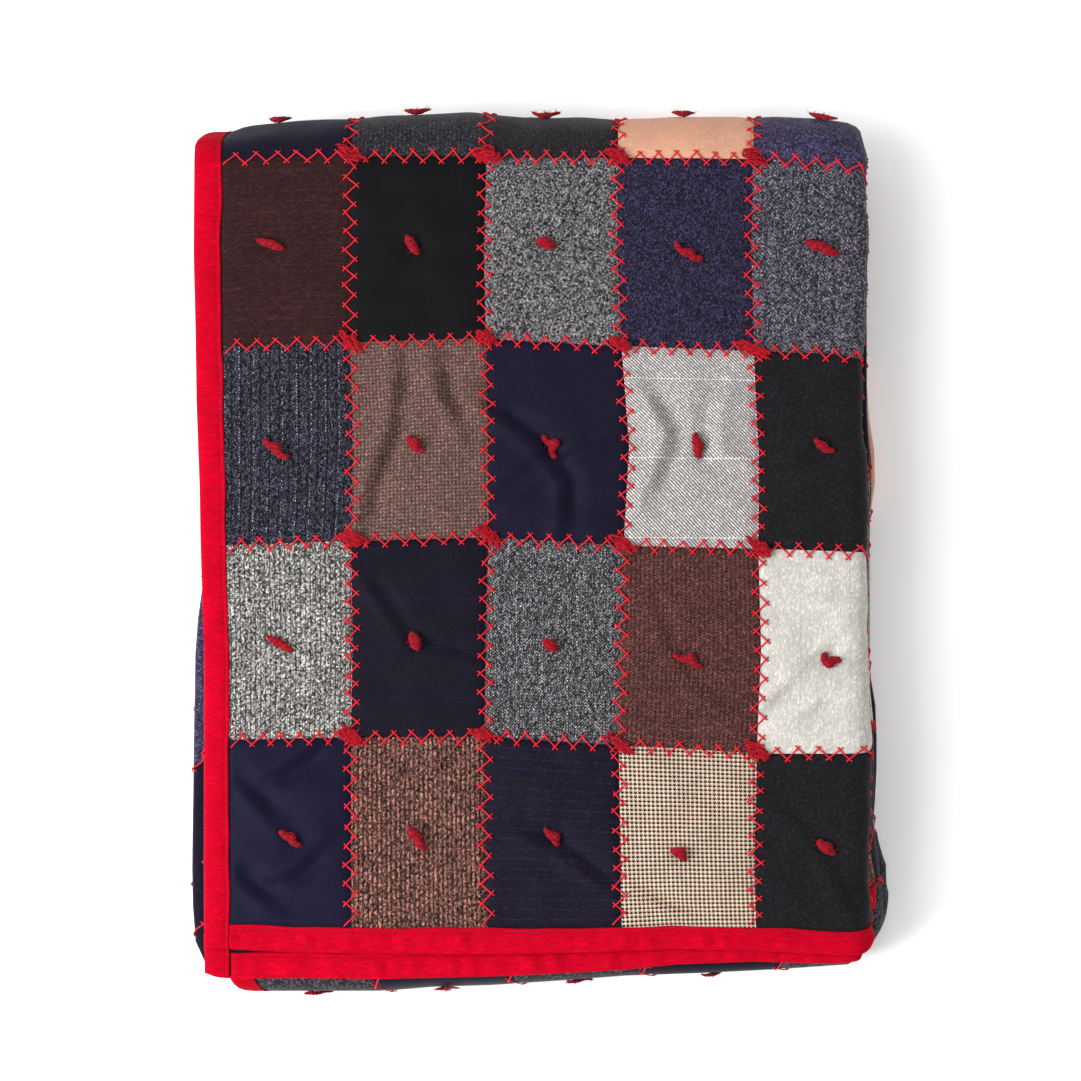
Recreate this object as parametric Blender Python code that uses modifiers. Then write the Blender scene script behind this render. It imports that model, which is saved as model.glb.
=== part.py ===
"""A wool patchwork quilt, folded in four across its width and in four again along its length.

Every piece is made flat, where it lies on the open quilt, and place() then folds it. On the open
quilt, a runs across the width, b runs along the length, and w stands off the cloth, with the
patchwork on its positive side. The folded quilt lies on the floor at z = 0, with the open front
edges towards -Y and the thick back fold towards +Y.
"""

import math

import bmesh
import bpy
from mathutils import Vector

# The folded quilt, in metres.
FOLDED_WIDTH = 0.438
FOLDED_DEPTH = 0.566
PLY = 0.0055
CLOTH = 0.0046
PLIES = 16

# The binding is a strip wrapped round the cloth's edge.
BINDING_WIDTH = 0.0165
BINDING_CLOTH = 0.00085
PIECE_GAP = 0.0003
RIM_INSET = 0.0015
PRESSED_HALF = CLOTH / 2 - BINDING_CLOTH - PIECE_GAP
STEP_UP = 0.002

# Seams of the patchwork, measured from the quilt's outer edge.
COLUMN_SEAMS = (0.098, 0.187, 0.275, 0.365)
ROW_SEAMS = (0.139, 0.271, 0.403, 0.529, 0.646)
EDGE_TO_PATCHES = 0.009
PUFF = 0.002
# How far each of the first four row seams strays at each column seam.
ROW_SEAM_DRIFT = (
    (0.002, 0.003, -0.003, -0.007),
    (0.001, 0.0, -0.005, -0.006),
    (0.002, 0.001, -0.005, -0.008),
    (0.002, -0.005, -0.005, -0.007),
)

# How the plies lie unevenly.
SECOND_PLY_REACH = 0.017
FRONT_FOLD_REACH = 0.0205
LEFT_FOLD_REACH = 0.0055
BACK_FOLD_SQUASH = 0.86
FRONT_FOLD_SQUASH = 0.75

# The yarn ties.
TIE_RADIUS = 0.0032
CORNER_TIE_RADIUS = 0.0042
CORNER_TIE_LENGTH = 0.027
FOLD_TIE_LENGTH = 0.020
# How thick a tie is along its length, as a share of its radius: two loose ends and a knot.
TIE_SHAPE = (0.5, 0.82, 0.74, 1.0, 0.74, 0.82, 0.5)
TIE_BEND = 0.05
TIE_LIFT = 0.0012
# The ties on the patches, row by row from the front: how far across and along, degrees, length.
TIES = (
    (
        (0.057, 0.074, -31, 0.015),
        (0.140, 0.075, -45, 0.018),
        (0.228, 0.076, -38, 0.016),
        (0.313, 0.064, -26, 0.015),
        (0.410, 0.070, -41, 0.013),
    ),
    (
        (0.051, 0.204, -38, 0.019),
        (0.139, 0.205, -45, 0.013),
        (0.229, 0.202, -45, 0.010),
        (0.318, 0.192, -23, 0.021),
        (0.411, 0.192, 29, 0.012),
    ),
    (
        (0.047, 0.336, -44, 0.019),
        (0.139, 0.337, -47, 0.014),
        (0.229, 0.333, -56, 0.017),
        (0.326, 0.334, -85, 0.015),
        (0.410, 0.338, -24, 0.013),
    ),
    (
        (0.044, 0.472, -24, 0.018),
        (0.137, 0.469, -49, 0.014),
        (0.226, 0.465, -13, 0.012),
        (0.318, 0.462, -31, 0.021),
        (0.407, 0.470, -23, 0.020),
    ),
)
FOLD_TIES_ACROSS = (0.048, 0.138, 0.225, 0.318, 0.406)
CORNER_TIE_LIE = (-35, -20, -40, -30)

# Facets in the wide and the tight turns of each section.
TURN_STEPS_ACROSS = (5, 4)
TURN_STEPS_ALONG = (8, 6)


def four_ply_path(pitch, edge, near_fold, far_fold, last_edge, turn_steps):
    """The start and the stretches of a section folded in half and in half again.

    A stretch is (length, radius, steps). Radius 0 is straight, and a positive one turns clockwise.
    """
    wide = 1.5 * pitch
    tight = 0.5 * pitch
    return (
        (edge, wide),
        (
            (far_fold - edge, 0.0, 1),
            (math.pi * wide, wide, turn_steps[0]),
            (far_fold - near_fold, 0.0, 1),
            (math.pi * tight, tight, turn_steps[1]),
            (far_fold - near_fold, 0.0, 1),
            (math.pi * tight, -tight, turn_steps[1]),
            (far_fold - last_edge, 0.0, 1),
        ),
    )


def beside(path, distance, offset):
    """The point at a distance along a path and an offset to its left."""
    (x, h), stretches = path
    heading = 0.0
    for length, radius, _ in stretches:
        step = min(distance, length)
        if radius == 0.0:
            x += step * math.cos(heading)
            h += step * math.sin(heading)
        else:
            centre_x = x + radius * math.sin(heading)
            centre_h = h - radius * math.cos(heading)
            heading -= step / radius
            x = centre_x - radius * math.sin(heading)
            h = centre_h + radius * math.cos(heading)
        distance -= step
        if distance <= 0.0:
            break
    return x - offset * math.sin(heading), h + offset * math.cos(heading)


PACK = 4 * PLY
HEIGHT = PLIES * PLY
OUTER_FACE = 1.5 * PLY + CLOTH / 2
BACK_FOLD_RADIUS = 1.5 * PACK + OUTER_FACE
FRONT_FOLD_RADIUS = 0.5 * PACK + OUTER_FACE

LEFT_EDGE = -FOLDED_WIDTH / 2
RIGHT_FOLD = FOLDED_WIDTH / 2 - OUTER_FACE
LEFT_FOLD = LEFT_EDGE - LEFT_FOLD_REACH
ACROSS = four_ply_path(
    PLY, LEFT_EDGE, LEFT_FOLD, RIGHT_FOLD, LEFT_EDGE, TURN_STEPS_ACROSS
)

FRONT_EDGE = -FOLDED_DEPTH / 2
BACK_FOLD = FOLDED_DEPTH / 2 - BACK_FOLD_SQUASH * BACK_FOLD_RADIUS
FRONT_FOLD = FRONT_EDGE - FRONT_FOLD_REACH + FRONT_FOLD_SQUASH * FRONT_FOLD_RADIUS
INNER_EDGE = FRONT_EDGE + 0.012
ALONG = four_ply_path(
    PACK, FRONT_EDGE, FRONT_FOLD, BACK_FOLD, INNER_EDGE, TURN_STEPS_ALONG
)

# Distances over the open quilt: to the back fold and past it, and to the right fold and its crest.
TOP_RUN = BACK_FOLD - FRONT_EDGE
UNDERSIDE = TOP_RUN + ALONG[1][1][0]
RIGHT_RUN = RIGHT_FOLD - LEFT_EDGE
CREST_SEAM = RIGHT_RUN + math.pi * 0.75 * PLY


def between(value, table):
    """Straight interpolation in a table of (place, value) in rising order."""
    if value <= table[0][0]:
        return table[0][1]
    for (x0, y0), (x1, y1) in zip(table, table[1:]):
        if value <= x1:
            return y0 + (y1 - y0) * (value - x0) / (x1 - x0)
    return table[-1][1]


def stretch_ends(path):
    """The distances along a path at which its stretches end."""
    ends = []
    for stretch in path[1]:
        ends.append(stretch[0] + (ends[-1] if ends else 0.0))
    return ends


WIDTH = stretch_ends(ACROSS)[-1]
LENGTH = stretch_ends(ALONG)[-1]

# How far the front edge of the top pack reaches past the top ply's, by distance across the quilt.
TURNS = stretch_ends(ACROSS)
STAGGER = (
    (TURNS[0], 0.0),
    (TURNS[1], 0.003),
    (TURNS[5], 0.006),
    (TURNS[5] + 0.35 * RIGHT_RUN, 0.8 * SECOND_PLY_REACH),
    (TURNS[6], SECOND_PLY_REACH),
)


# The soft give of the whole pile. Each table runs from the left edge or from the front edge, in
# straight steps whose corners are rows of points in every ply, so that the plies stay nested.
SIDE_KNOTS = (0.0, COLUMN_SEAMS[0], COLUMN_SEAMS[1], COLUMN_SEAMS[3], RIGHT_RUN)
FRONT_KNOTS = (0.0, 0.050, ROW_SEAMS[0], ROW_SEAMS[1], TOP_RUN)
BACK_BOW = tuple(zip(SIDE_KNOTS, (0.013, 0.0045, 0.0, 0.0, 0.009)))
SIDE_DROOP = tuple(zip(SIDE_KNOTS, (0.07, 0.012, 0.0, 0.0, 0.015)))
FRONT_DROOP = tuple(zip(FRONT_KNOTS, (0.03, 0.019, 0.0, 0.0, 0.0)))
BOW_SHARE = tuple(zip(FRONT_KNOTS, (0.0, 0.0, 0.0, 0.25, 1.0)))
# How far the lowest ply lies to the right of the top one, at its left and at its right.
LEAN_AT_LEFT = tuple(zip(FRONT_KNOTS, (0.030, 0.0, -0.004, 0.003, 0.006)))
LEAN_AT_RIGHT = tuple(zip(FRONT_KNOTS, (0.020, 0.012, 0.0095, 0.008, 0.003)))
# The left folds of the upper packs are tucked in, by height.
TUCK = ((0.035, 0.0), (0.050, 0.007), (0.075, 0.007), (HEIGHT, 0.0))
FOLD_RETREAT = tuple(zip(SIDE_KNOTS, (0.0, 0.0, 0.004, 0.019, 0.024)))
RETREAT_SHARE = tuple(zip(FRONT_KNOTS, (1.0, 0.89, 0.7, 0.4, 0.0)))


def settle(x, y, z):
    """A bowed back, lower plies that lean and spread, a skewed front and a lower left and front."""
    left = x - LEFT_EDGE
    front = y - FRONT_EDGE
    below = 1.0 - z / HEIGHT
    share = left / RIGHT_RUN
    lean = between(front, LEAN_AT_LEFT) * (1.0 - share) + between(front, LEAN_AT_RIGHT) * share
    tuck = between(z, TUCK) * (1.0 - share)
    bow = between(left, BACK_BOW) * between(front, BOW_SHARE)
    retreat = between(left, FOLD_RETREAT) * between(front, RETREAT_SHARE) * below
    return Vector(
        (
            x + lean * below + tuck,
            y - bow + retreat,
            z * (1.0 - between(left, SIDE_DROOP) - between(front, FRONT_DROOP)),
        )
    )


def place(a, b, w):
    """Where a point of the open quilt lies in the folded one."""
    x, n = beside(ACROSS, a, w)
    y, h = beside(ALONG, b, n)
    if y > BACK_FOLD:
        y = BACK_FOLD + BACK_FOLD_SQUASH * (y - BACK_FOLD)
    elif h < 0.0 and y < FRONT_FOLD:
        y = FRONT_FOLD + FRONT_FOLD_SQUASH * (y - FRONT_FOLD)
    if b < TOP_RUN:
        y -= between(a, STAGGER) * (1.0 - b / TOP_RUN)
    return settle(x, y, h + 1.5 * PACK + OUTER_FACE)


def patch_share(value, seams):
    """How far a place is across its patch, from 0 to 1."""
    bounds = (EDGE_TO_PATCHES,) + seams
    for low, high in zip(bounds, bounds[1:]):
        if low <= value <= high:
            return (value - low) / (high - low)
    return 0.0


def puff(a, b):
    """How far a patch of the top ply swells between its seams, down to the underside."""
    across = math.sin(math.pi * patch_share(a, COLUMN_SEAMS + (CREST_SEAM,)))
    along = math.sin(math.pi * patch_share(b, ROW_SEAMS[:4] + (UNDERSIDE,)))
    return PUFF * across * along


def middles(seams):
    """The middle of each patch along one direction."""
    bounds = (EDGE_TO_PATCHES,) + seams
    return [(low + high) / 2 for low, high in zip(bounds, bounds[1:])]


def stations(path, seams, knots, rim):
    """Where the cloth has a row of points: rims, seams, patch middles, knots and turn steps."""
    total = stretch_ends(path)[-1]
    edge = path[0][0]
    found = []
    for d in (BINDING_WIDTH + PIECE_GAP, BINDING_WIDTH + PIECE_GAP + STEP_UP):
        found += [d, total - d]
    begin = 0.0
    for length, radius, steps in path[1]:
        found += [begin + length * k / steps for k in range(1, steps + 1)]
        if radius == 0.0 and begin > 0.0:
            far = beside(path, begin + 1e-9, 0.0)[0]
            turned = beside(path, begin + length - 1e-9, 0.0)[0]
            for knot in knots:
                if min(far, turned) + 0.02 < edge + knot < max(far, turned) - 0.004:
                    found.append(begin + abs(edge + knot - far))
        begin += length
    found += [s for s in list(seams) + middles(seams) if 0.02 < s < path[1][0][0] - 0.004]
    kept = [rim]
    for s in sorted(found):
        if kept[-1] + 0.0012 < s < total - rim - 0.0012:
            kept.append(s)
    return kept + [total - rim]


def material(name, colour, roughness):
    """A plain cloth finish."""
    made = bpy.data.materials.new(name)
    made.use_nodes = True
    shader = made.node_tree.nodes["Principled BSDF"]
    shader.inputs["Base Color"].default_value = colour
    shader.inputs["Roughness"].default_value = roughness
    shader.inputs["Metallic"].default_value = 0.0
    return made


def flat_grid(name, a_rows, b_rows):
    """A flat grid with a column of points at each a and a row at each b."""
    across = len(a_rows) - 1
    along = len(b_rows) - 1
    mesh = bpy.data.meshes.new(name)
    bm = bmesh.new()
    bmesh.ops.create_grid(bm, x_segments=across, y_segments=along, size=1.0)
    for vertex in bm.verts:
        i = round((vertex.co.x + 1.0) / 2.0 * across)
        j = round((vertex.co.y + 1.0) / 2.0 * along)
        vertex.co = Vector((a_rows[i], b_rows[j], 0.0))
    bm.to_mesh(mesh)
    bm.free()
    return bpy.data.objects.new(name, mesh)


def thicken(obj, thickness):
    """Gives a surface its thickness, half on each side."""
    solidify = obj.modifiers.new("cloth", "SOLIDIFY")
    solidify.thickness = thickness
    solidify.offset = 0.0
    solidify.use_even_offset = True
    apply_modifiers(obj)


def apply_modifiers(obj):
    """Turns an object's evaluated shape into its own mesh."""
    COLLECTION.objects.link(obj)
    graph = bpy.context.evaluated_depsgraph_get()
    made = bpy.data.meshes.new_from_object(obj.evaluated_get(graph))
    COLLECTION.objects.unlink(obj)
    obj.modifiers.clear()
    obj.data = made


def fold(obj, finish):
    """Moves every point of a flat piece to its place in the folded quilt, and keeps the piece."""
    for vertex in obj.data.vertices:
        vertex.co = place(*vertex.co)
    bm = bmesh.new()
    bm.from_mesh(obj.data)
    bmesh.ops.recalc_face_normals(bm, faces=bm.faces)
    bm.to_mesh(obj.data)
    bm.free()
    obj.data.materials.clear()
    obj.data.materials.append(finish)
    obj.data.shade_smooth()
    obj.data.set_sharp_from_angle(angle=math.radians(50))
    COLLECTION.objects.link(obj)
    return obj


def cloth_sheet(finish):
    """Patchwork, wadding and backing as one sheet, pressed thin under the binding."""
    a_rows = stations(ACROSS, COLUMN_SEAMS + (CREST_SEAM,), SIDE_KNOTS, RIM_INSET)
    b_rows = stations(ALONG, ROW_SEAMS, FRONT_KNOTS, RIM_INSET)
    sheet = flat_grid("quilt_cloth", a_rows, b_rows)
    thicken(sheet, CLOTH)
    for vertex in sheet.data.vertices:
        a, b, w = vertex.co
        from_rim = min(a, WIDTH - a, b, LENGTH - b)
        if from_rim < BINDING_WIDTH + PIECE_GAP + STEP_UP / 2:
            w *= 2 * PRESSED_HALF / CLOTH
        elif w > 0.0:
            w += puff(a, b)
        vertex.co.z = w
    return fold(sheet, finish)


def binding_strip(name, lie, rows, flip, finish):
    """A strip wrapped round one edge of the cloth.

    It starts as a grid of three bands, which stand as the upper side, the edge and the lower side.
    lie is 'side' for a strip along the length and 'end' for one across the width, and flip puts it
    on the far edge.
    """
    half = (CLOTH - BINDING_CLOTH) / 2
    edge = BINDING_CLOTH / 2
    section = ((BINDING_WIDTH, half), (edge, half), (edge, -half), (BINDING_WIDTH, -half))
    strip = flat_grid(name, (0.0, 1.0, 2.0, 3.0), rows)
    total = WIDTH if lie == "side" else LENGTH
    for vertex in strip.data.vertices:
        inward, w = section[round(vertex.co.x)]
        place_in = total - inward if flip else inward
        if lie == "side":
            vertex.co = Vector((place_in, vertex.co.y, w))
        else:
            vertex.co = Vector((vertex.co.y, place_in, w))
    thicken(strip, BINDING_CLOTH)
    return fold(strip, finish)


def bindings(finish):
    """Two strips down the whole length, and two between them across the width."""
    along_rows = stations(ALONG, ROW_SEAMS, FRONT_KNOTS, 0.0)
    inset = BINDING_WIDTH + PIECE_GAP
    across_rows = stations(ACROSS, COLUMN_SEAMS + (CREST_SEAM,), SIDE_KNOTS, inset)
    binding_strip("binding_left", "side", along_rows, False, finish)
    binding_strip("binding_second_side", "side", along_rows, True, finish)
    binding_strip("binding_front", "end", across_rows, False, finish)
    binding_strip("binding_inner_end", "end", across_rows, True, finish)


def yarn(name, middle, lie, length, radius, finish):
    """A short length of thick yarn, fat at its knot, lying on the patchwork at (a, b)."""
    a, b = middle
    angle = math.radians(lie)
    last = len(TIE_SHAPE) - 1
    curve = bpy.data.curves.new(name, "CURVE")
    curve.dimensions = "3D"
    curve.bevel_depth = radius
    curve.bevel_resolution = 1
    curve.use_fill_caps = True
    spline = curve.splines.new("POLY")
    spline.points.add(last)
    surface = CLOTH / 2 + puff(a, b)
    for k, thick in enumerate(TIE_SHAPE):
        run = (k / last - 0.5) * length
        bend = TIE_BEND * length * math.sin(2.0 * math.pi * k / last)
        lift = surface + PIECE_GAP + radius + TIE_LIFT * 2.0 * abs(run) / length
        spline.points[k].co = (
            a + run * math.cos(angle) - bend * math.sin(angle),
            b + run * math.sin(angle) + bend * math.cos(angle),
            lift,
            1.0,
        )
        spline.points[k].radius = thick
    guide = bpy.data.objects.new(name + "_path", curve)
    COLLECTION.objects.link(guide)
    graph = bpy.context.evaluated_depsgraph_get()
    mesh = bpy.data.meshes.new_from_object(guide.evaluated_get(graph))
    bpy.data.objects.remove(guide)
    bm = bmesh.new()
    bm.from_mesh(mesh)
    bmesh.ops.remove_doubles(bm, verts=bm.verts, dist=1e-5)
    bm.to_mesh(mesh)
    bm.free()
    return fold(bpy.data.objects.new(name, mesh), finish)


def ties(finish):
    """A tie in the middle of each patch that shows, and one over each crossing of the seams."""
    for j, line in enumerate(TIES):
        for i, (a, b, lie, length) in enumerate(line):
            yarn(f"tie_row{j + 1}_col{i + 1}", (a, b), lie, length, TIE_RADIUS, finish)
    back_row = (TOP_RUN + UNDERSIDE) / 2
    for i, a in enumerate(FOLD_TIES_ACROSS):
        yarn(f"tie_back_col{i + 1}", (a, back_row), 0, FOLD_TIE_LENGTH, TIE_RADIUS, finish)
    front_row = (stretch_ends(ALONG)[2] + stretch_ends(ALONG)[3]) / 2
    for i, a in enumerate(FOLD_TIES_ACROSS[:4]):
        yarn(f"tie_front_col{i + 1}", (a, front_row), 10, FOLD_TIE_LENGTH, TIE_RADIUS, finish)
    for j, drifts in enumerate(ROW_SEAM_DRIFT):
        for i, drift in enumerate(drifts):
            name = f"corner_tie_row{j + 1}_col{i + 1}"
            crossing = (COLUMN_SEAMS[i], ROW_SEAMS[j] + drift)
            lie = CORNER_TIE_LIE[(i + j) % len(CORNER_TIE_LIE)]
            yarn(name, crossing, lie, CORNER_TIE_LENGTH, CORNER_TIE_RADIUS, finish)


for old in list(bpy.data.objects):
    bpy.data.objects.remove(old)
COLLECTION = bpy.data.collections.new("wool_patchwork_quilt")
bpy.context.scene.collection.children.link(COLLECTION)

wool = material("wool_patchwork", (0.055, 0.055, 0.085, 1.0), 0.9)
red_cotton = material("red_cotton", (0.62, 0.012, 0.022, 1.0), 0.8)
red_yarn = material("red_wool_yarn", (0.42, 0.006, 0.02, 1.0), 0.95)
cloth_sheet(wool)
bindings(red_cotton)
ties(red_yarn)
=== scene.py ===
# %% [markdown]
# # A folded wool patchwork quilt
# The real quilt is a sheet of wool suiting samples, joined with red herringbone stitches, tied
# through with felted yarn and bound in red cotton. It lies folded in four each way.
# The CAD model is loaded first and stays as it is. Its nodes are stood for by detailed pieces here.

# %% Load the frame
import math
from collections import namedtuple

import bpy
import numpy as np
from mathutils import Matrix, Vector


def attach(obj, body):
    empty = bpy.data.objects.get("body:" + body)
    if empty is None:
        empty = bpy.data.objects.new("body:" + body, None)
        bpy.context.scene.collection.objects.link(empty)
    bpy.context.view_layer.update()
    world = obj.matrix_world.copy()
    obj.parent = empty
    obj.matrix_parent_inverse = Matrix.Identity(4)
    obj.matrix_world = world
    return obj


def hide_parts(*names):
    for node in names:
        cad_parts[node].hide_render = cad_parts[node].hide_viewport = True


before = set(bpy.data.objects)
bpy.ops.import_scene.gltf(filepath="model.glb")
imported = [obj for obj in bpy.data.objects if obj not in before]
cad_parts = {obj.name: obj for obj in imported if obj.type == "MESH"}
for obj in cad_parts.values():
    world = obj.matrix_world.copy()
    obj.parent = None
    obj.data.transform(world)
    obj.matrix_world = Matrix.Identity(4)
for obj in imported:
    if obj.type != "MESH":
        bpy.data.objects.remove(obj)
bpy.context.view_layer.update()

mm = 0.001

# %% [markdown]
# ## How the quilt is folded
# The quilt could be folded by cloth simulation, but sixteen plies that lie within a millimetre of
# each other are slow to settle and never land where the CAD put them. So each piece is worked out
# flat, on the open quilt, and one function then folds it: a runs across the quilt, b along it,
# and w stands off the cloth on the patchwork side. The sizes are the CAD model's.

# %% Sizes of the folded pile
folded_width = 0.438
folded_depth = 0.566
ply = 0.0055
cloth = 0.0046
pack = 4 * ply
height = 16 * ply
binding_width = 0.0165
rim_inset = 0.0015
outer_face = 1.5 * ply + cloth / 2
back_squash = 0.86
front_squash = 0.75
left_edge = -folded_width / 2
right_fold = folded_width / 2 - outer_face
left_fold = left_edge - 0.0055
front_edge = -folded_depth / 2
back_fold = folded_depth / 2 - back_squash * (1.5 * pack + outer_face)
front_fold = front_edge - 0.0205 + front_squash * (0.5 * pack + outer_face)
inner_edge = front_edge + 0.012


def four_ply_path(pitch, edge, near_fold, far_fold, last_edge):
    """A section folded in half twice: its start, and stretches of (length, radius)."""
    wide = 1.5 * pitch
    tight = 0.5 * pitch
    return (edge, wide), (
        (far_fold - edge, 0.0),
        (math.pi * wide, wide),
        (far_fold - near_fold, 0.0),
        (math.pi * tight, tight),
        (far_fold - near_fold, 0.0),
        (math.pi * tight, -tight),
        (far_fold - last_edge, 0.0),
    )


across = four_ply_path(ply, left_edge, left_fold, right_fold, left_edge)
along = four_ply_path(pack, front_edge, front_fold, back_fold, inner_edge)
turns_across = np.cumsum([stretch[0] for stretch in across[1]])
turns_along = np.cumsum([stretch[0] for stretch in along[1]])
width = float(turns_across[-1])
length = float(turns_along[-1])
right_run = float(turns_across[0])
top_run = float(turns_along[0])
underside = float(turns_along[1])
print("open quilt", round(width, 3), "x", round(length, 3), "m")


# %% Fold a point
def beside(path, distance, offset):
    """Points at distances along a path, offset to its left. A straight stretch adds its length
    along the heading, and a turn moves round its centre by length divided by radius."""
    x = np.full_like(distance, path[0][0])
    h = np.full_like(distance, path[0][1])
    heading = np.zeros_like(distance)
    left = distance.copy()
    for reach, radius in path[1]:
        step = np.clip(left, 0.0, reach)
        if radius == 0.0:
            x = x + step * np.cos(heading)
            h = h + step * np.sin(heading)
        else:
            centre_x = x + radius * np.sin(heading)
            centre_h = h - radius * np.cos(heading)
            heading = heading - step / radius
            x = centre_x - radius * np.sin(heading)
            h = centre_h + radius * np.cos(heading)
        left = left - reach
    return x - offset * np.sin(heading), h + offset * np.cos(heading)


def eased(value, places, heights):
    """Interpolation in a table that is level at each of its places: t * t * (3 - 2 t) between."""
    places = np.asarray(places, dtype=float)
    heights = np.asarray(heights, dtype=float)
    k = np.clip(np.searchsorted(places, value) - 1, 0, len(places) - 2)
    t = np.clip((value - places[k]) / (places[k + 1] - places[k]), 0.0, 1.0)
    return heights[k] + (heights[k + 1] - heights[k]) * t * t * (3.0 - 2.0 * t)


def ramp(value, start, end):
    """0 before start, 1 after end and a straight slope between. The end may be the smaller one."""
    return np.clip((value - start) / (end - start), 0.0, 1.0)


def hump(value, middle, half_width):
    """A bump 1 high: e to the power of minus the square of (value - middle) / half_width."""
    return np.exp(-(((value - middle) / half_width) ** 2))


# Places from the left or the front edge, and how far the pile gives there, in millimetres.
bow_places = (0.0, 0.040, 0.098, 0.170, 0.187, 0.208, 0.375, 0.4125, 0.4257, 0.4336, 0.4380)
bow_mm = (13.0, 8.5, 3.0, 0.0, 0.5, 4.6, 4.6, 6.0, 7.8, 10.5, 23.0)
bow_fade_places = (0.0, 0.271, 0.470, 0.5285, 0.560)
bow_fade = (0.0, 0.03, 0.12, 0.25, 1.0)
retreat_places = (0.0, 0.098, 0.130, 0.170, 0.208, 0.261, 0.314, 0.365, 0.415, 0.427, 0.4335, 0.438)
retreat_mm = (0.0, 0.0, 3.5, 5.0, 8.2, 13.3, 15.7, 19.0, 24.0, 39.0, 50.0, 56.0)
lean_left_places = (-0.022, -0.013, 0.003, 0.050, 0.139, 0.205, 0.271, top_run)
lean_left_mm = (31.0, 29.0, 4.0, 0.0, 1.5, 3.0, 12.5, 12.5)
lean_right_places = (0.0, 0.030, 0.047, 0.087, 0.126, 0.166, 0.271, 0.311, 0.365, top_run)
lean_right_mm = (20.0, 16.0, 8.5, 10.5, 10.5, 5.5, 5.5, 8.5, 2.5, 1.0)
side_knots = (0.0, 0.098, 0.187, 0.365, right_run, folded_width)
side_droop = (0.07, 0.012, 0.0, 0.0, 0.015, 0.02)
front_knots = (0.0, 0.050, 0.139, 0.271, top_run)
front_droop = (0.03, 0.019, 0.0, 0.0, 0.0)
retreat_fade = (1.0, 0.89, 0.7, 0.4, 0.0)
upright_height = 0.0775
far_widening = 0.016


def settle(x, y, z):
    """The give of the whole pile. The back bows and its right corner is round, the lower packs lean
    to the right and draw back at the front, and the pile is lower at its left and its front."""
    left = x - left_edge
    front = y - front_edge
    below = 1.0 - z / height
    share = left / right_run
    lean_at_left = eased(front, lean_left_places, lean_left_mm) * ramp(z, upright_height, 0.0)
    lean_at_right = eased(front, lean_right_places, lean_right_mm) * below
    lean = mm * (lean_at_left * (1.0 - share) + lean_at_right * share)
    bow = mm * np.interp(left, bow_places, bow_mm) * np.interp(front, bow_fade_places, bow_fade)
    retreat = mm * np.interp(left, retreat_places, retreat_mm)
    retreat = retreat * np.interp(front, front_knots, retreat_fade)
    droop = eased(left, side_knots, side_droop) + np.interp(front, front_knots, front_droop)
    # The camera sees the far end a little smaller, and the photograph shows the sides parallel.
    widen = 1.0 + far_widening * (front / folded_depth - 0.5)
    # The lowest ply is pressed flat where it lies on the floor.
    z = np.maximum(z * (1.0 - droop), 0.0)
    return np.stack(((x + lean) * widen, y - bow + retreat * below, z), -1)


# %% [markdown]
# The front edges of a folded pile never line up. The four plies of the top pack step forward one
# by one, and each edge waves a few millimetres, as hand-sewn binding does. The patches' seams are
# just as uneven: the tables below say how far each one strays, from the photograph.

# %% Where the seams stray
column_seams = (0.098, 0.187, 0.275, 0.365)
row_seams = (0.139, 0.271, 0.403, 0.529, 0.646)
crest_seam = right_run + math.pi * 0.75 * ply
hidden_widths = (0.0, *(0.0860,) * 5, *(0.0894,) * 9)
column_lines = np.concatenate((column_seams, crest_seam + np.cumsum(hidden_widths)))
hidden_rows = (0.763, 0.880, 0.996, 1.113, 1.2235, 1.334)
row_lines = np.concatenate((row_seams, hidden_rows, 1.463 + 0.129 * np.arange(7)))

row_stray_places = (0.0, 0.098, 0.187, 0.275, 0.365, 0.4125, 0.440)
row_stray = mm * np.array(
    (
        (0.0, 0.0, 0.0, 0.0, 0.0, 0.0, 0.0),
        (0.7, 2.0, 2.6, -3.2, -9.0, -8.8, -8.6),
        (-2.0, 0.2, 2.6, -3.0, -5.0, -6.6, -8.0),
        (-0.2, 1.2, 3.4, -1.5, -4.9, -6.0, -11.0),
        (3.0, 1.0, 0.0, 0.5, -0.8, -3.5, -9.0),
        (0.0, 0.0, 0.0, 0.0, 0.0, 0.0, 0.0),
    )
)
row_stray_rows = np.array((0.0, 0.139, 0.271, 0.403, 0.529, 0.646))
column_stray_places = (0.0, 0.07, 0.139, 0.205, 0.271, 0.337, 0.403, 0.466, 0.529, 0.66)
column_stray = mm * np.array(
    (
        (0.0, 0.0, 0.0, 0.0, 0.0, 0.0, 0.0, 0.0, 0.0, 0.0),
        (-0.6, -0.8, -1.0, 0.0, -1.0, 0.7, -1.8, -1.5, -1.0, 0.0),
        (0.2, -1.3, -1.8, -1.4, 0.5, 0.2, -1.4, -2.4, -0.7, 0.0),
        (0.6, -0.6, -1.6, 1.0, 1.5, 5.3, 0.3, -2.7, -2.2, 0.0),
        (-1.3, -2.0, -0.8, 2.2, 0.5, 2.0, -1.5, -4.0, -3.0, 0.0),
        (6.0, 6.0, 6.0, 6.0, 6.0, 6.0, 6.0, 6.0, 6.0, 6.0),
    )
)
column_stray_columns = np.array((0.0, 0.098, 0.187, 0.275, 0.365, 0.440))


def stray(line_places, table, lines, run, side):
    """How far a seam strays: straight interpolation along each seam and then between seams."""
    each = np.stack([np.interp(run, line_places, row) for row in table])
    k = np.clip(np.searchsorted(lines, side) - 1, 0, len(lines) - 2)
    t = np.clip((side - lines[k]) / (lines[k + 1] - lines[k]), 0.0, 1.0)
    low = np.take_along_axis(each, k[None], 0)[0]
    high = np.take_along_axis(each, k[None] + 1, 0)[0]
    return low + (high - low) * t


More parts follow.
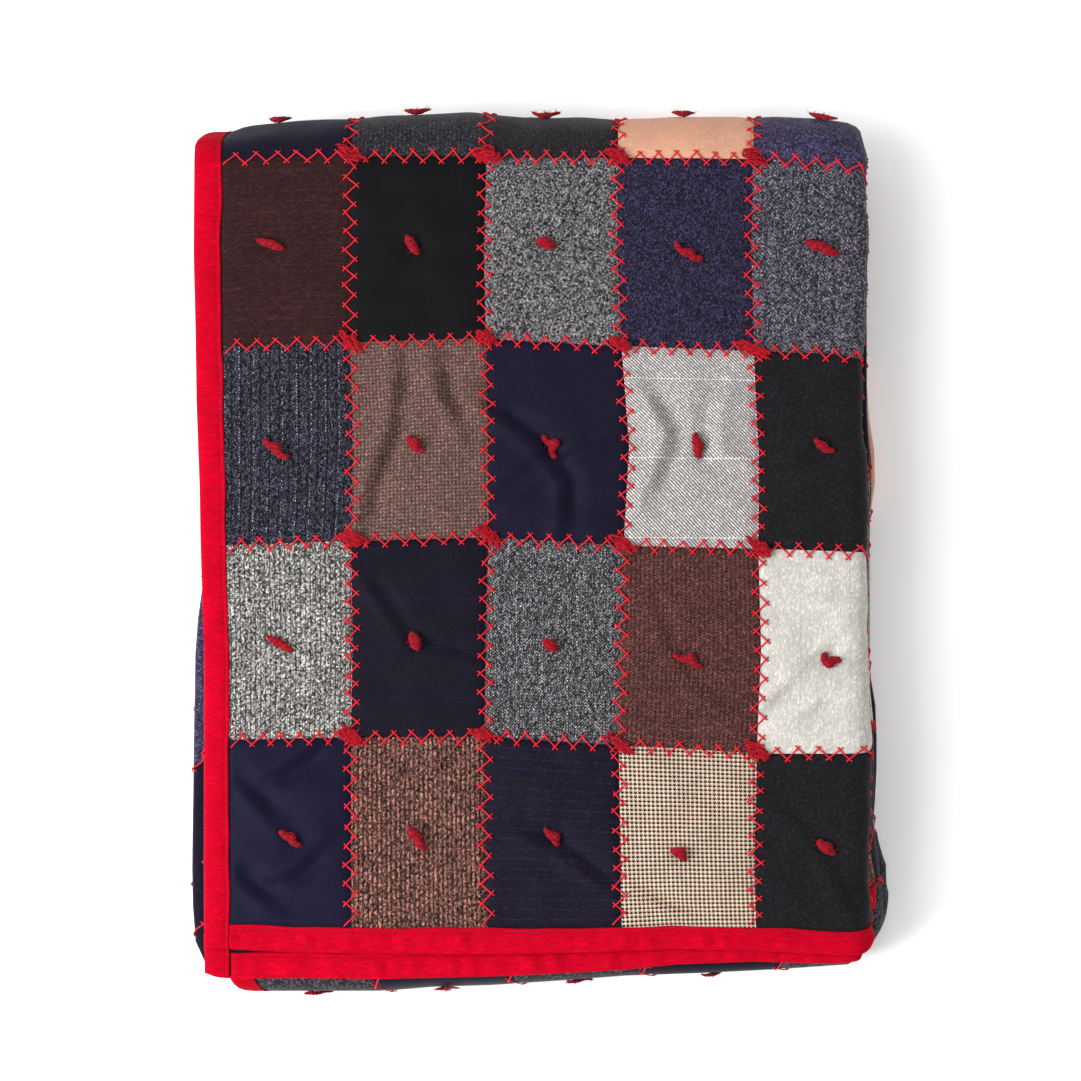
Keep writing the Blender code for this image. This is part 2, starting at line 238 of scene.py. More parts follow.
# Below the top pack the seam at the right side lies on the lower half of each fold.
fold_shift_places = (0.60, 0.68, 1.12, 1.21, 1.69, 1.77)
fold_shift_mm = (0.0, -9.0, -9.0, 9.0, 9.0, -9.0)
stagger_places = (*turns_across[[0, 1, 5]], turns_across[5] + 0.35 * right_run, width)
stagger_mm = (0.0, 3.0, 6.0, 13.6, 17.0)
wave_places = (0.0, 0.06, 0.12, 0.20, 0.26, 0.31, 0.36, 0.40, 0.427)
wave_mm = (3.5, 0.0, -1.0, -1.6, -0.6, 1.6, 0.4, -1.4, -3.5)
wave_reach = 0.05
last_ply_places = (0.0, 0.008, 0.020, *wave_places[1:])
last_ply_wave_mm = (4.5, 1.5, 0.5, 0.0, -1.6, -1.2, 0.6, 3.0, 2.0, -1.4, -3.5)
bulge_places = (0.0, 0.200, 0.271, 0.311, 0.365, 0.418, 0.465, 0.560, 0.620)
bulge_mm = (0.0, 0.0, -2.5, -3.2, -5.2, -6.0, -7.2, -6.6, 0.0)
shown_width = 0.47
shown_depth = 0.66
right_inset_mm = 4.2
right_bulge_mm = 2.0
left_tuck_mm = 9.5


def lay(a, b, w):
    """Folds points of the open quilt: the seams stray, then both foldings, the waves and the give."""
    a, b, w = np.broadcast_arrays(*(np.asarray(v, dtype=float) for v in (a, b, w)))
    shape = a.shape
    a, b, w = a.ravel(), b.ravel(), w.ravel()
    shown = ramp(b, shown_depth, shown_depth - 0.02) * ramp(a, shown_width, shown_width - 0.02)
    a_run = a + shown * stray(column_stray_places, column_stray, column_stray_columns, b, a)
    fold_shift = mm * np.interp(b, fold_shift_places, fold_shift_mm)
    a_run = a_run + fold_shift * np.interp(a, (0.0, 0.43, 0.46, 0.88), (0.0, 1.0, 1.0, 0.0))
    b_run = b + shown * stray(row_stray_places, row_stray, row_stray_rows, a, b)
    x, n = beside(across, a_run, w)
    y, h = beside(along, b_run, n)
    y = np.where(y > back_fold, back_fold + back_squash * (y - back_fold), y)
    y = np.where((h < 0) & (y < front_fold), front_fold + front_squash * (y - front_fold), y)
    y = y - mm * np.interp(a, stagger_places, stagger_mm) * ramp(b, top_run, 0.0)
    from_left = np.clip(x - left_edge, 0.0, right_run)
    edge_wave = np.where(
        a > turns_across[5],
        np.interp(from_left, last_ply_places, last_ply_wave_mm),
        np.interp(from_left, wave_places, wave_mm),
    )
    y = y + mm * edge_wave * np.exp(-b / wave_reach)
    # The top ply's bound edge bulges a little towards the back.
    x = x + mm * np.interp(b, bulge_places, bulge_mm) * ramp(a, 0.08, 0.0)
    # The right fold of the top pack draws in where the one below it bulges out.
    at_right = ramp(x, left_edge + 0.33, left_edge + 0.43)
    x = x - mm * right_inset_mm * at_right * hump(b, 0.36, 0.065)
    x = x + mm * right_bulge_mm * at_right * hump(b, 0.82, 0.045)
    # The left fold of the upper packs is tucked in under the top ply.
    z = h + 1.5 * pack + outer_face
    x = x + mm * left_tuck_mm * hump(a, turns_across[2], 0.10) * ramp(z, 0.035, 0.045)
    return settle(x, y, z).reshape(*shape, 3)


corners = lay(np.array([0.0, 0.0, right_run]), np.array([0.0, top_run, 0.0]), cloth / 2)
print("top corners", np.round(corners, 3).tolist())

# %% [markdown]
# ## The relief of the cloth
# Each patch swells a little between its seams and is drawn down by its tie. Soft creases run from
# the ties and across the thin cloths. A sculpted mesh could show this, but formulas over the
# open quilt are exact, and they can be asked for the height under each stitch.


# %% Waves, seams and creases
def waves(p, q, seed, count, shortest, longest):
    """A smooth random surface from -1 to 1 or so: cosines that run in random directions."""
    rng = np.random.default_rng(seed)
    angle = rng.uniform(0.0, math.pi, count)
    size = np.exp(rng.uniform(math.log(shortest), math.log(longest), count))
    start = rng.uniform(0.0, 2.0 * math.pi, count)
    turn = 2.0 * math.pi / size
    phase = p[..., None] * np.cos(angle) * turn + q[..., None] * np.sin(angle) * turn + start
    return np.cos(phase).sum(-1) * math.sqrt(2.0 / count) * 0.6


def from_seam(value, seams):
    """Distance from the nearest seam, with its sign."""
    gaps = value[..., None] - np.asarray(seams)
    nearest = np.abs(gaps).argmin(-1)[..., None]
    return np.take_along_axis(gaps, nearest, -1)[..., 0]


def patch_share(value, bounds):
    """How far a place is across its patch, from 0 to 1."""
    bounds = np.asarray(bounds)
    k = np.clip(np.searchsorted(bounds, value) - 1, 0, len(bounds) - 2)
    return np.clip((value - bounds[k]) / (bounds[k + 1] - bounds[k]), 0.0, 1.0)


def crease(a, b, points, half_width, depth):
    """A soft trough with a ridge beside it along a bent line, fading at the line's ends."""
    best = np.full(a.shape, 1e9)
    side = np.zeros(a.shape)
    for (a0, b0), (a1, b1) in zip(points, points[1:]):
        run = math.hypot(a1 - a0, b1 - b0)
        ua, ub = (a1 - a0) / run, (b1 - b0) / run
        t = np.clip((a - a0) * ua + (b - b0) * ub, 0.0, run)
        da, db = a - a0 - t * ua, b - b0 - t * ub
        reach = np.hypot(da, db)
        nearer = reach < best
        side = np.where(nearer, da * ub - db * ua, side)
        best = np.where(nearer, reach, best)
    ends = np.minimum(
        np.hypot(a - points[0][0], b - points[0][1]),
        np.hypot(a - points[-1][0], b - points[-1][1]),
    )
    fade = ramp(ends, 0.0, 0.012)
    beyond = hump(best - np.abs(side), 0.0, half_width)
    ridge = hump(side, 1.7 * half_width, half_width)
    return depth * fade * beyond * (0.7 * ridge - hump(side, 0.0, half_width))


Crease = namedtuple("Crease", "points half_width depth")
creases = (
    Crease(((0.135, 0.390), (0.129, 0.346), (0.114, 0.304), (0.110, 0.281)), 0.0050, 0.0018),
    Crease(((0.160, 0.390), (0.162, 0.367), (0.174, 0.346)), 0.0048, 0.0018),
    Crease(((0.192, 0.361), (0.221, 0.339), (0.241, 0.312), (0.241, 0.279)), 0.005, 0.0014),
    Crease(((0.196, 0.300), (0.222, 0.326), (0.262, 0.345)), 0.004, 0.0008),
    Crease(((0.296, 0.376), (0.310, 0.346), (0.296, 0.302)), 0.0055, 0.0017),
    Crease(((0.345, 0.320), (0.325, 0.334), (0.332, 0.372)), 0.006, 0.0011),
    Crease(((0.394, 0.190), (0.367, 0.162)), 0.0035, 0.0012),
    Crease(((0.420, 0.217), (0.400, 0.197)), 0.0035, 0.0010),
    Crease(((0.414, 0.175), (0.391, 0.157)), 0.004, 0.0010),
    Crease(((0.019, 0.122), (0.040, 0.101), (0.053, 0.088)), 0.0055, 0.0014),
    Crease(((0.084, 0.132), (0.064, 0.120), (0.045, 0.108)), 0.0055, 0.0013),
    Crease(((0.019, 0.060), (0.036, 0.044), (0.053, 0.032)), 0.0055, 0.0014),
    Crease(((0.084, 0.066), (0.068, 0.052), (0.053, 0.044)), 0.005, 0.0013),
    Crease(((0.177, 0.134), (0.162, 0.118), (0.147, 0.106)), 0.004, 0.0010),
    Crease(((0.217, 0.082), (0.242, 0.069), (0.274, 0.045)), 0.0045, 0.0011),
    Crease(((0.281, 0.048), (0.306, 0.034), (0.334, 0.021)), 0.0035, 0.0012),
    Crease(((0.022, 0.230), (0.046, 0.206), (0.090, 0.198)), 0.005, 0.0005),
    Crease(((0.292, 0.248), (0.318, 0.192), (0.352, 0.166)), 0.005, 0.0006),
    Crease(((0.110, 0.250), (0.139, 0.205), (0.178, 0.196)), 0.004, 0.0007),
    Crease(((0.378, 0.110), (0.408, 0.074), (0.428, 0.030)), 0.004, 0.0007),
)
print(len(creases), "creases laid by hand")

# %% Ties on the patches: where they sit and how they lie
Tie = namedtuple("Tie", "a b first first_length second second_length knot")
# first and second are the lie of the two yarn ends in degrees, and lengths are in millimetres.
patch_ties = (
    (
        Tie(0.058, 0.075, 150, 8, -40, 9, 3.1),
        Tie(0.142, 0.074, 128, 9, -58, 10, 3.3),
        Tie(0.233, 0.076, 140, 9, -75, 6, 3.2),
        Tie(0.316, 0.068, 165, 7, -60, 6, 3.8),
        Tie(0.408, 0.074, 130, 6, -35, 6, 3.9),
    ),
    (
        Tie(0.051, 0.203, 147, 11, -33, 10, 3.0),
        Tie(0.140, 0.203, 110, 6, -70, 7, 4.0),
        Tie(0.229, 0.202, 140, 5, -30, 5, 3.9),
        Tie(0.320, 0.199, 172, 12, -38, 10, 3.1),
        Tie(0.408, 0.198, 110, 7, 10, 7, 3.5),
    ),
    (
        Tie(0.049, 0.335, 140, 9, -42, 11, 3.2),
        Tie(0.139, 0.334, 130, 6, -40, 7, 4.0),
        Tie(0.229, 0.336, 142, 9, -85, 10, 3.0),
        Tie(0.323, 0.339, 100, 8, -85, 9, 3.8),
        Tie(0.407, 0.341, 130, 6, -20, 8, 3.2),
    ),
    (
        Tie(0.048, 0.470, 158, 10, -24, 9, 3.0),
        Tie(0.139, 0.468, 118, 7, -55, 8, 3.4),
        Tie(0.228, 0.470, 160, 6, -20, 6, 4.1),
        Tie(0.324, 0.466, 142, 12, -18, 9, 3.1),
        Tie(0.406, 0.473, 158, 10, -20, 11, 3.7),
    ),
)


# Heights in millimetres: how far a patch swells, a seam or a tie sinks, and one patch laps the next.
swell_mm = 2.1
seam_dip_mm = 1.0
lap_mm = 0.28
tie_dip_mm = 1.7
spoke_mm = 0.45
small_wave_mm = 0.60
large_wave_mm = 0.90
# Creases are drawn this many times as deep as the list says, so that they show in soft light.
crease_gain = 3.2
# The reach of a seam's dip, of a lap and of a tie's dip and spokes, in metres.
seam_reach = 0.0024
lap_reach = 0.003
tie_reach = 0.010
spoke_reach = 0.015
stitch_pitch = 0.0124
relief_width = 0.455


def relief(a, b):
    """Height of the patchwork over its flat face: swell, seams, ties, creases and soft waves."""
    a, b = np.broadcast_arrays(np.asarray(a, dtype=float), np.asarray(b, dtype=float))
    top = ramp(a, relief_width, relief_width - 0.02) * ramp(b, underside - 0.02, underside - 0.05)
    side = hump(a, crest_seam, 0.012) * (1.0 - top)
    from_rim = np.minimum(a, b) - binding_width
    inside = ramp(from_rim, 0.0, 0.012)
    column_gap = from_seam(a, column_lines)
    row_gap = from_seam(b, row_lines)
    share_a = patch_share(a, (0.009, *column_seams, crest_seam))
    share_b = patch_share(b, (0.009, *row_seams[:4], underside))
    swell = np.sin(math.pi * share_a) ** 0.6 * np.sin(math.pi * share_b) ** 0.6
    rise = swell_mm * swell * top
    dip = seam_dip_mm * (0.85 + 0.15 * np.maximum(top, side))
    for gap, run, last in ((column_gap, b, 0.46), (row_gap, a, 0.50)):
        pinch = 0.75 + 0.25 * np.cos(2.0 * math.pi * run / stitch_pitch)
        rise = rise - dip * pinch * hump(gap, 0.0, seam_reach) * (a < last)
        # One patch laps over the next, which gives each seam its small step.
        lap = np.tanh(gap / 0.0002) * np.exp(-np.abs(gap) / lap_reach)
        rise = rise + lap_mm * lap * inside * top
    for tie in (tie for row in patch_ties for tie in row):
        da, db = a - tie.a, b - tie.b
        reach = np.hypot(da, db)
        spokes = np.cos(4.0 * np.arctan2(db, da) + 40.0 * tie.a + 25.0 * tie.b)
        rise = rise - tie_dip_mm * hump(reach, 0.0, tie_reach)
        rise = rise + spoke_mm * spokes * (reach / 0.012) * hump(reach, 0.0, spoke_reach)
    for fold in creases:
        rise = rise + top * crease_gain / mm * crease(a, b, *fold)
    rise = rise + top * small_wave_mm * waves(a, b, 3, 14, 0.022, 0.060)
    rise = rise + top * large_wave_mm * waves(a, b, 8, 8, 0.12, 0.30) * inside
    rise = mm * np.where(from_rim < 0.010, rise * ramp(from_rim, 0.0, 0.010), rise)
    return np.where(top + side > 0.02, rise, np.minimum(rise, 0.0))


some_heights = relief(np.array([0.057, 0.1, 0.228]), np.array([0.1, 0.2, 0.139]))
print("relief in mm", np.round(some_heights / mm, 2))

# %% [markdown]
# ## Meshes from whole arrays
# A sheet is a grid of points, and a yarn is a row of rings. Both are put into the mesh in one go
# from arrays, which is far quicker than adding faces one by one. If a closed shell comes out with
# a negative volume, its faces point inwards, and every one is turned round.


# %% Put arrays into a mesh
def to_mesh(name, points, corners, sizes, flat, finishes, finish_of=None):
    """A mesh from points, the corner list of all faces, each face's corner count and flat places."""
    points = np.ascontiguousarray(points, dtype=np.float32).reshape(-1, 3)
    corners = np.asarray(corners, dtype=np.int32).ravel()
    sizes = np.asarray(sizes, dtype=np.int32)
    starts = np.concatenate(([0], np.cumsum(sizes)[:-1])).astype(np.int32)
    fan = np.repeat(starts, sizes)
    ring = np.arange(len(corners))
    after = np.where(ring + 1 < fan + np.repeat(sizes, sizes), ring + 1, fan)
    v0, v1, v2 = (points[corners[k]].astype(float) for k in (fan, ring, after))
    volume = np.einsum("ij,ij->i", v0, np.cross(v1, v2)).sum() / 6.0
    if volume < 0.0:
        order = fan + np.repeat(sizes, sizes) - 1 - (ring - fan)
        corners, flat = corners[order], flat[order]
    mesh = bpy.data.meshes.new(name)
    mesh.vertices.add(len(points))
    mesh.vertices.foreach_set("co", points.ravel())
    mesh.loops.add(len(corners))
    mesh.loops.foreach_set("vertex_index", corners)
    mesh.polygons.add(len(sizes))
    mesh.polygons.foreach_set("loop_start", starts)
    mesh.uv_layers.new(name="flat")
    mesh.uv_layers[0].uv.foreach_set("vector", np.asarray(flat, dtype=np.float32).ravel())
    for finish in finishes:
        mesh.materials.append(finish)
    if finish_of is not None:
        mesh.polygons.foreach_set("material_index", np.asarray(finish_of, dtype=np.int32))
    mesh.update(calc_edges=True)
    mesh.shade_smooth()
    made = bpy.data.objects.new(name, mesh)
    bpy.context.scene.collection.objects.link(made)
    triangles = int((sizes - 2).sum())
    print(name, triangles, "triangles,", round(abs(volume) * 1e6, 1), "cubic centimetres")
    return made


# %% A yarn as a row of rings
def yarn_points(spine, thick, sides, lumps=0.0, seed=1):
    """Rings round spines in (a, b, w): centre + radius * (cos * sideways + sin * up)."""
    run = np.gradient(spine, axis=1)
    sideways = np.stack((-run[..., 1], run[..., 0], np.zeros(run.shape[:2])), -1)
    sideways /= np.linalg.norm(sideways, axis=-1, keepdims=True) + 1e-12
    up = np.cross(run / (np.linalg.norm(run, axis=-1, keepdims=True) + 1e-12), sideways)
    turn = 2.0 * math.pi * np.arange(sides) / sides
    rng = np.random.default_rng(seed)
    yarns, rings = thick.shape
    start = rng.uniform(0.0, 2.0 * math.pi, (3, yarns, 1, 1))
    k = np.arange(rings)[None, :, None]
    bumps = np.cos(turn + 0.9 * k + start[0]) + np.cos(2 * turn - 1.7 * k + start[1])
    bumps = bumps + np.cos(3 * turn + 2.3 * k + start[2])
    radius = thick[..., None] * (1.0 + lumps * bumps / 2.0)
    ring = sideways[:, :, None] * np.cos(turn)[:, None] + up[:, :, None] * np.sin(turn)[:, None]
    return spine[:, :, None] + ring * radius[..., None]


def tubes(name, points, u, v, v_next, finish, swapped=False):
    """Closed tubes from rings of points. u is how far along each ring is, and v and v_next how far
    round each side starts and ends. They are the flat places, and swapped puts v first."""
    index = np.arange(points[..., 0].size).reshape(points.shape[:-1])
    here, further = index[:, :-1], index[:, 1:]
    quads = np.stack((here, np.roll(here, -1, 2), np.roll(further, -1, 2), further), -1)
    caps = np.stack((index[:, 0, ::-1], index[:, -1]), 1)
    corners = np.concatenate((quads.ravel(), caps.ravel()))
    sizes = np.concatenate((np.full(quads[..., 0].size, 4), np.full(2 * len(index), index.shape[2])))
    u, v, v_next = (np.broadcast_to(value, index.shape) for value in (u, v, v_next))
    quad_u = np.stack((u[:, :-1], u[:, :-1], u[:, 1:], u[:, 1:]), -1)
    quad_v = np.stack((v[:, :-1], v_next[:, :-1], v_next[:, 1:], v[:, 1:]), -1)
    flat = np.stack((quad_v, quad_u) if swapped else (quad_u, quad_v), -1).reshape(-1, 2)
    flat = np.concatenate((flat, np.zeros((caps.size, 2))))
    return to_mesh(name, points, corners, sizes, flat, [finish])


def yarn_mesh(name, spine, thick, sides, finish, lumps=0.0, seed=1):
    """Closed yarns, folded with the quilt. Flat places are length along and share round."""
    rings_at = yarn_points(spine, thick, sides, lumps, seed)
    points = lay(rings_at[..., 0], rings_at[..., 1], rings_at[..., 2])
    points[..., 2] = np.maximum(points[..., 2], 0.05 * mm)
    steps = np.linalg.norm(np.diff(spine, axis=1), axis=-1)
    run = np.concatenate((np.zeros((len(spine), 1)), np.cumsum(steps, 1)), 1)
    side = np.arange(sides)
    return tubes(name, points, run[:, :, None], side / sides, (side + 1.0) / sides, finish)


# %% [markdown]
# ## Colours and nodes
# Colours are picked as sRGB hex values, as from a colour picker, but Blender's shaders work in
# linear light, so one function turns them. One more adds a node with its settings and links.


# %% Helpers for materials
def linear(hex_colour):
    """sRGB to linear: ((c + 0.055) / 1.055) to the power 2.4, or c / 12.92 when very dark."""
    shown = np.array([int(hex_colour[k : k + 2], 16) for k in (1, 3, 5)]) / 255.0
    light = np.where(shown <= 0.04045, shown / 12.92, ((shown + 0.055) / 1.055) ** 2.4)
    return (*light.tolist(), 1.0)


def node(tree, kind, settings=None, inputs=None):
    """Adds a node. settings are its own choices, and inputs are values or other nodes' outputs."""
    made = tree.nodes.new(kind)
    for key, value in (settings or {}).items():
        setattr(made, key, value)
    for key, value in (inputs or {}).items():
        if isinstance(value, bpy.types.NodeSocket):
            tree.links.new(value, made.inputs[key])
        else:
            made.inputs[key].default_value = value
    return made


def maths(tree, operation, *values):
    """The result of a Math node."""
    return node(tree, "ShaderNodeMath", {"operation": operation}, dict(enumerate(values))).outputs[0]


def vector_maths(tree, operation, *values):
    """The result of a Vector Math node."""
    made = node(tree, "ShaderNodeVectorMath", {"operation": operation}, dict(enumerate(values)))
    return made.outputs[0]


def scaled(tree, vector, scale):
    """A vector or a colour times a number."""
    inputs = {0: vector, "Scale": scale}
    return node(tree, "ShaderNodeVectorMath", {"operation": "SCALE"}, inputs).outputs[0]


def mixed(tree, share, low, high):
    """Two colours mixed. Inputs 0, 6 and 7 are the factor, A and B, and output 2 is the colour."""
    return node(tree, "ShaderNodeMix", {"data_type": "RGBA"}, {0: share, 6: low, 7: high}).outputs[2]


def noise(tree, vector, scale, detail, dimensions="3D"):
    """The value of a Noise Texture, which is its output 0."""
    inputs = {"Vector": vector, "Scale": scale, "Detail": detail}
    return node(tree, "ShaderNodeTexNoise", {"noise_dimensions": dimensions}, inputs).outputs[0]


def add_bump(tree, shader, height, strength, distance):
    """Bumps on the surface from a height."""
    inputs = {"Strength": strength, "Distance": distance, "Height": height}
    bump = node(tree, "ShaderNodeBump", {}, inputs)
    tree.links.new(bump.outputs[0], shader.inputs["Normal"])


def new_finish(name, roughness, sheen, gloss=0.12):
    """A material with its Principled shader. Constants go straight onto the shader's sockets."""
    finish = bpy.data.materials.new(name)
    finish.use_nodes = True
    shader = finish.node_tree.nodes["Principled BSDF"]
    shader.inputs["Roughness"].default_value = roughness
    shader.inputs["Sheen Weight"].default_value = sheen
    shader.inputs["Sheen Roughness"].default_value = 0.45
    shader.inputs["Specular IOR Level"].default_value = gloss
    return finish, finish.node_tree, shader


# %% [markdown]
# ## Suiting cloths
# The patches are worsted and woollen suitings: plain weave, twill, herringbone, birdseye, checks,
# stripes and flannel. All are woven, so one material function works out the weave itself: which
# thread lies on top at each crossing, and what colour that thread is. A check or a houndstooth is
# then only a plan of thread colours. Suiting has 20 to 30 threads a centimetre, which is finer
# than a pixel of the main view, so some threads are drawn up to twice as thick to show.

# %% One woven finish, driven by a plan
Weave = namedtuple(
    "Weave",
    "structure thread warp weft warp_lines weft_lines fleck fleck_size streak mottle nap",
)
# Each line is (colour, every so many threads, how many of them, first one).
repeat_of = {"plain": 2, "twill": 4, "herringbone": 4}
herringbone_turn = 6.0
fleck_sharpness = 3.0
fleck_gain = 4.2


def woven(name, plan, sheen=0.05, roughness=0.85, gloss=0.10):
    """The upper thread at a crossing is the warp where (column + row) modulo the weave's repeat is
    in the lower half. Herringbone runs the column count up and down again."""
    finish, tree, shader = new_finish(name, roughness, sheen, gloss)
    flat = node(tree, "ShaderNodeUVMap", {"uv_map": "flat"}).outputs[0]
    count = scaled(tree, flat, 1.0 / (plan.thread * mm))
    whole = vector_maths(tree, "FLOOR", count)
    part = vector_maths(tree, "FRACTION", count)
    thread = node(tree, "ShaderNodeSeparateXYZ", inputs={0: whole}).outputs
    within = node(tree, "ShaderNodeSeparateXYZ", inputs={0: part}).outputs
    column = thread[0]
    if plan.structure == "herringbone":
        column = maths(tree, "PINGPONG", column, herringbone_turn)
    repeat = repeat_of[plan.structure]
    phase = maths(tree, "FLOORED_MODULO", maths(tree, "ADD", column, thread[1]), float(repeat))
    over = maths(tree, "LESS_THAN", phase, repeat / 2 - 0.5)
    colours = []
    for base, lines, number in (
        (plan.warp, plan.warp_lines, thread[0]),
        (plan.weft, plan.weft_lines, thread[1]),
    ):
        colour = linear(base)
        for line, every, wide, first in lines:
            moved = maths(tree, "SUBTRACT", number, float(first))
            place = maths(tree, "FLOORED_MODULO", moved, float(every))
            colour = mixed(tree, maths(tree, "LESS_THAN", place, wide - 0.5), colour, linear(line))
        colours.append(colour)
    colour = mixed(tree, over, colours[1], colours[0])
    # Each short stretch of yarn has its own shade. Flecks are drawn at least 0.6 mm wide, though
    # real ones can be finer, because less doesn't show in the main view.
    cell = vector_maths(tree, "DIVIDE", count, (*plan.fleck_size, 1.0))
    fleck = node(
        tree, "ShaderNodeTexVoronoi", {"voronoi_dimensions": "2D"}, {"Vector": cell, "Scale": 1.0}
    ).outputs["Color"]
    bright = maths(tree, "POWER", fleck, fleck_sharpness)
    shade = maths(tree, "MULTIPLY_ADD", bright, fleck_gain * plan.fleck, 1.0 - plan.fleck)
    # Streaks are 0.8 mm wide and 14 mm long, mottling is 22 mm across and the nap 0.9 mm.
    for amount, wide, long in (
        (plan.streak, 0.0008, 0.014), (plan.mottle, 0.022, 0.022), (plan.nap, 0.0009, 0.0009),
    ):
        if amount > 0.0:
            spread = vector_maths(tree, "MULTIPLY", flat, (1.0 / wide, 1.0 / long, 1.0))
            uneven = noise(tree, spread, 1.0, 2.0, "2D")
            change = maths(tree, "MULTIPLY_ADD", uneven, 4.0 * amount, 1.0 - 2.0 * amount)
            shade = maths(tree, "MULTIPLY", shade, change)
    tree.links.new(scaled(tree, colour, shade), shader.inputs["Base Color"])
    # Height: each thread is round, so it stands up as the sine of the way across it.
    rounds = [maths(tree, "SINE", maths(tree, "MULTIPLY", way, math.pi)) for way in (within[1], within[0])]
    thread_height = node(tree, "ShaderNodeMix", {}, {0: over, 2: rounds[0], 3: rounds[1]}).outputs[0]
    fuzz = noise(tree, flat, 1400.0, 2.0)
    add_bump(tree, shader, maths(tree, "MULTIPLY_ADD", fuzz, 1.2, thread_height), 0.35, 0.00012)
    return finish


# %% The suitings
suitings = {
    "brown_plaid_worsted": Weave(
        "twill", 0.55, "#281212", "#230e10", (), (("#341717", 13, 1, 0), ("#1c0d0e", 9, 2, 5)),
        0.30, (4, 1.6), 0.05, 0.08, 0.04,
    ),
    "black_barathea": Weave("twill", 0.5, "#070509", "#040406", (), (), 0.22, (2, 3), 0.0, 0.06, 0.06),
    "salt_and_pepper_tweed": Weave(
        "plain", 0.62, "#6c696b", "#2d2d30", (), (), 0.97, (1.3, 1.3), 0.05, 0.06, 0.12,
    ),
    "navy_flannel": Weave(
        "twill", 0.62, "#232035", "#1d1a2d", (), (("#361e30", 34, 1, 4),),
        0.80, (1.3, 1.5), 0.04, 0.04, 0.10,
    ),
    "slate_stripe_flannel": Weave(
        "twill", 0.6, "#4b4951", "#38363d", (("#54525d", 11, 3, 0), ("#3d3a43", 17, 3, 6)), (),
        0.88, (1.3, 1.5), 0.10, 0.06, 0.10,
    ),
    "blue_grey_herringbone": Weave(
        "herringbone", 0.5, "#343440", "#191922", (("#656270", 18, 1, 4), ("#14141a", 12, 2, 0)), (),
        0.98, (1.2, 2.4), 0.24, 0.10, 0.12,
    ),
    "taupe_glen_check": Weave(
        "twill", 0.6, "#70534c", "#4f3a37", (("#433330", 4, 2, 0),),
        (("#433330", 4, 2, 0),), 0.45, (1.3, 1.3), 0.05, 0.05, 0.06,
    ),
    "navy_worsted": Weave("twill", 0.45, "#0e0a1f", "#090719", (), (), 0.20, (3, 4), 0.0, 0.06, 0.06),
    "light_grey_sharkskin": Weave(
        "twill", 0.62, "#ada9a8", "#514f4e", (("#b8b6b6", 44, 1, 9),), (("#b6b2b3", 85, 1, 28),),
        0.30, (1.2, 1.2), 0.05, 0.05, 0.05,
    ),
    "black_flannel": Weave(
        "plain", 0.55, "#131215", "#0e0d10", (), (), 0.45, (1.6, 1.8), 0.06, 0.14, 0.22,
    ),
    "cream_birdseye_tweed": Weave(
        "plain", 0.66, "#999693", "#3a3938", (("#424140", 5, 1, 0),), (),
        0.95, (1.2, 1.3), 0.14, 0.10, 0.08,
    ),
    "dark_navy_windowpane": Weave(
        "twill", 0.5, "#0c0918", "#090613", (("#1b0b20", 60, 1, 14),), (("#131130", 66, 1, 30),),
        0.30, (2, 2.4), 0.03, 0.05, 0.05,
    ),
    "grey_herringbone": Weave(
        "herringbone", 0.5, "#636163", "#2c2b2d", (("#7b7b7e", 11, 1, 4), ("#4b5360", 24, 2, 9)), (),
        0.92, (1.2, 2.4), 0.22, 0.08, 0.10,
    ),
    "brown_tick_check": Weave(
        "twill", 0.5, "#55322e", "#3e2422", (("#301c1a", 6, 2, 0),), (("#301c1a", 6, 2, 0),),
        0.55, (1.7, 1.7), 0.04, 0.05, 0.05,
    ),
    "cream_windowpane": Weave(
        "plain", 0.5, "#adaba5", "#a19d96", (("#969a9c", 62, 2, 18),), (("#93989b", 58, 2, 10),),
        0.14, (1.8, 3), 0.08, 0.09, 0.05,
    ),
    "navy_gabardine": Weave("twill", 0.42, "#0d0b23", "#09071b", (), (), 0.16, (3, 4), 0.0, 0.06, 0.05),
    "brown_birdseye_tweed": Weave(
        "plain", 0.62, "#845a4f", "#2e1f1c", (("#432a24", 5, 2, 0), ("#95695d", 10, 1, 3)),
        (("#372420", 4, 1, 0),), 0.97, (1.2, 1.4), 0.12, 0.08, 0.10,
    ),
    "navy_pinstripe": Weave(
        "plain", 0.5, "#0f0a1a", "#0c0816", (), (("#191a41", 13, 1, 0),), 0.35, (4, 1.8), 0.03, 0.05, 0.05,
    ),
    "cream_houndstooth": Weave(
        "twill", 0.3625, "#c7b09c", "#c7b09c", (("#110906", 8, 5, 0),), (("#110906", 8, 4, 0),),
        0.10, (3, 3), 0.03, 0.07, 0.04,
    ),
    "charcoal_flannel": Weave(
        "plain", 0.6, "#1f1c20", "#18161a", (), (), 0.50, (1.4, 2.2), 0.10, 0.05, 0.08,
    ),
    "dark_navy_twill": Weave("twill", 0.5, "#0d081c", "#090517", (), (), 0.30, (2.4, 3), 0.0, 0.06, 0.06),
    "dark_grey_check": Weave(
        "plain", 0.55, "#27262b", "#19171b", (("#3b3b42", 5, 1, 0),), (("#131115", 5, 1, 0),),
        0.70, (1.5, 1.5), 0.05, 0.05, 0.08,
    ),
    "camel_flannel": Weave(
        "plain", 0.6, "#b78b74", "#a97c65", (), (), 0.08, (1.4, 1.4), 0.0, 0.06, 0.09,
    ),
    "violet_navy_flannel": Weave(
        "twill", 0.62, "#38324c", "#2b263d", (), (), 0.70, (1.3, 1.5), 0.03, 0.05, 0.10,
    ),
    "grey_tweed": Weave("plain", 0.66, "#3d393f", "#211f24", (), (), 0.85, (1.3, 1.4), 0.06, 0.06, 0.10),
}
suiting_names = list(suitings)
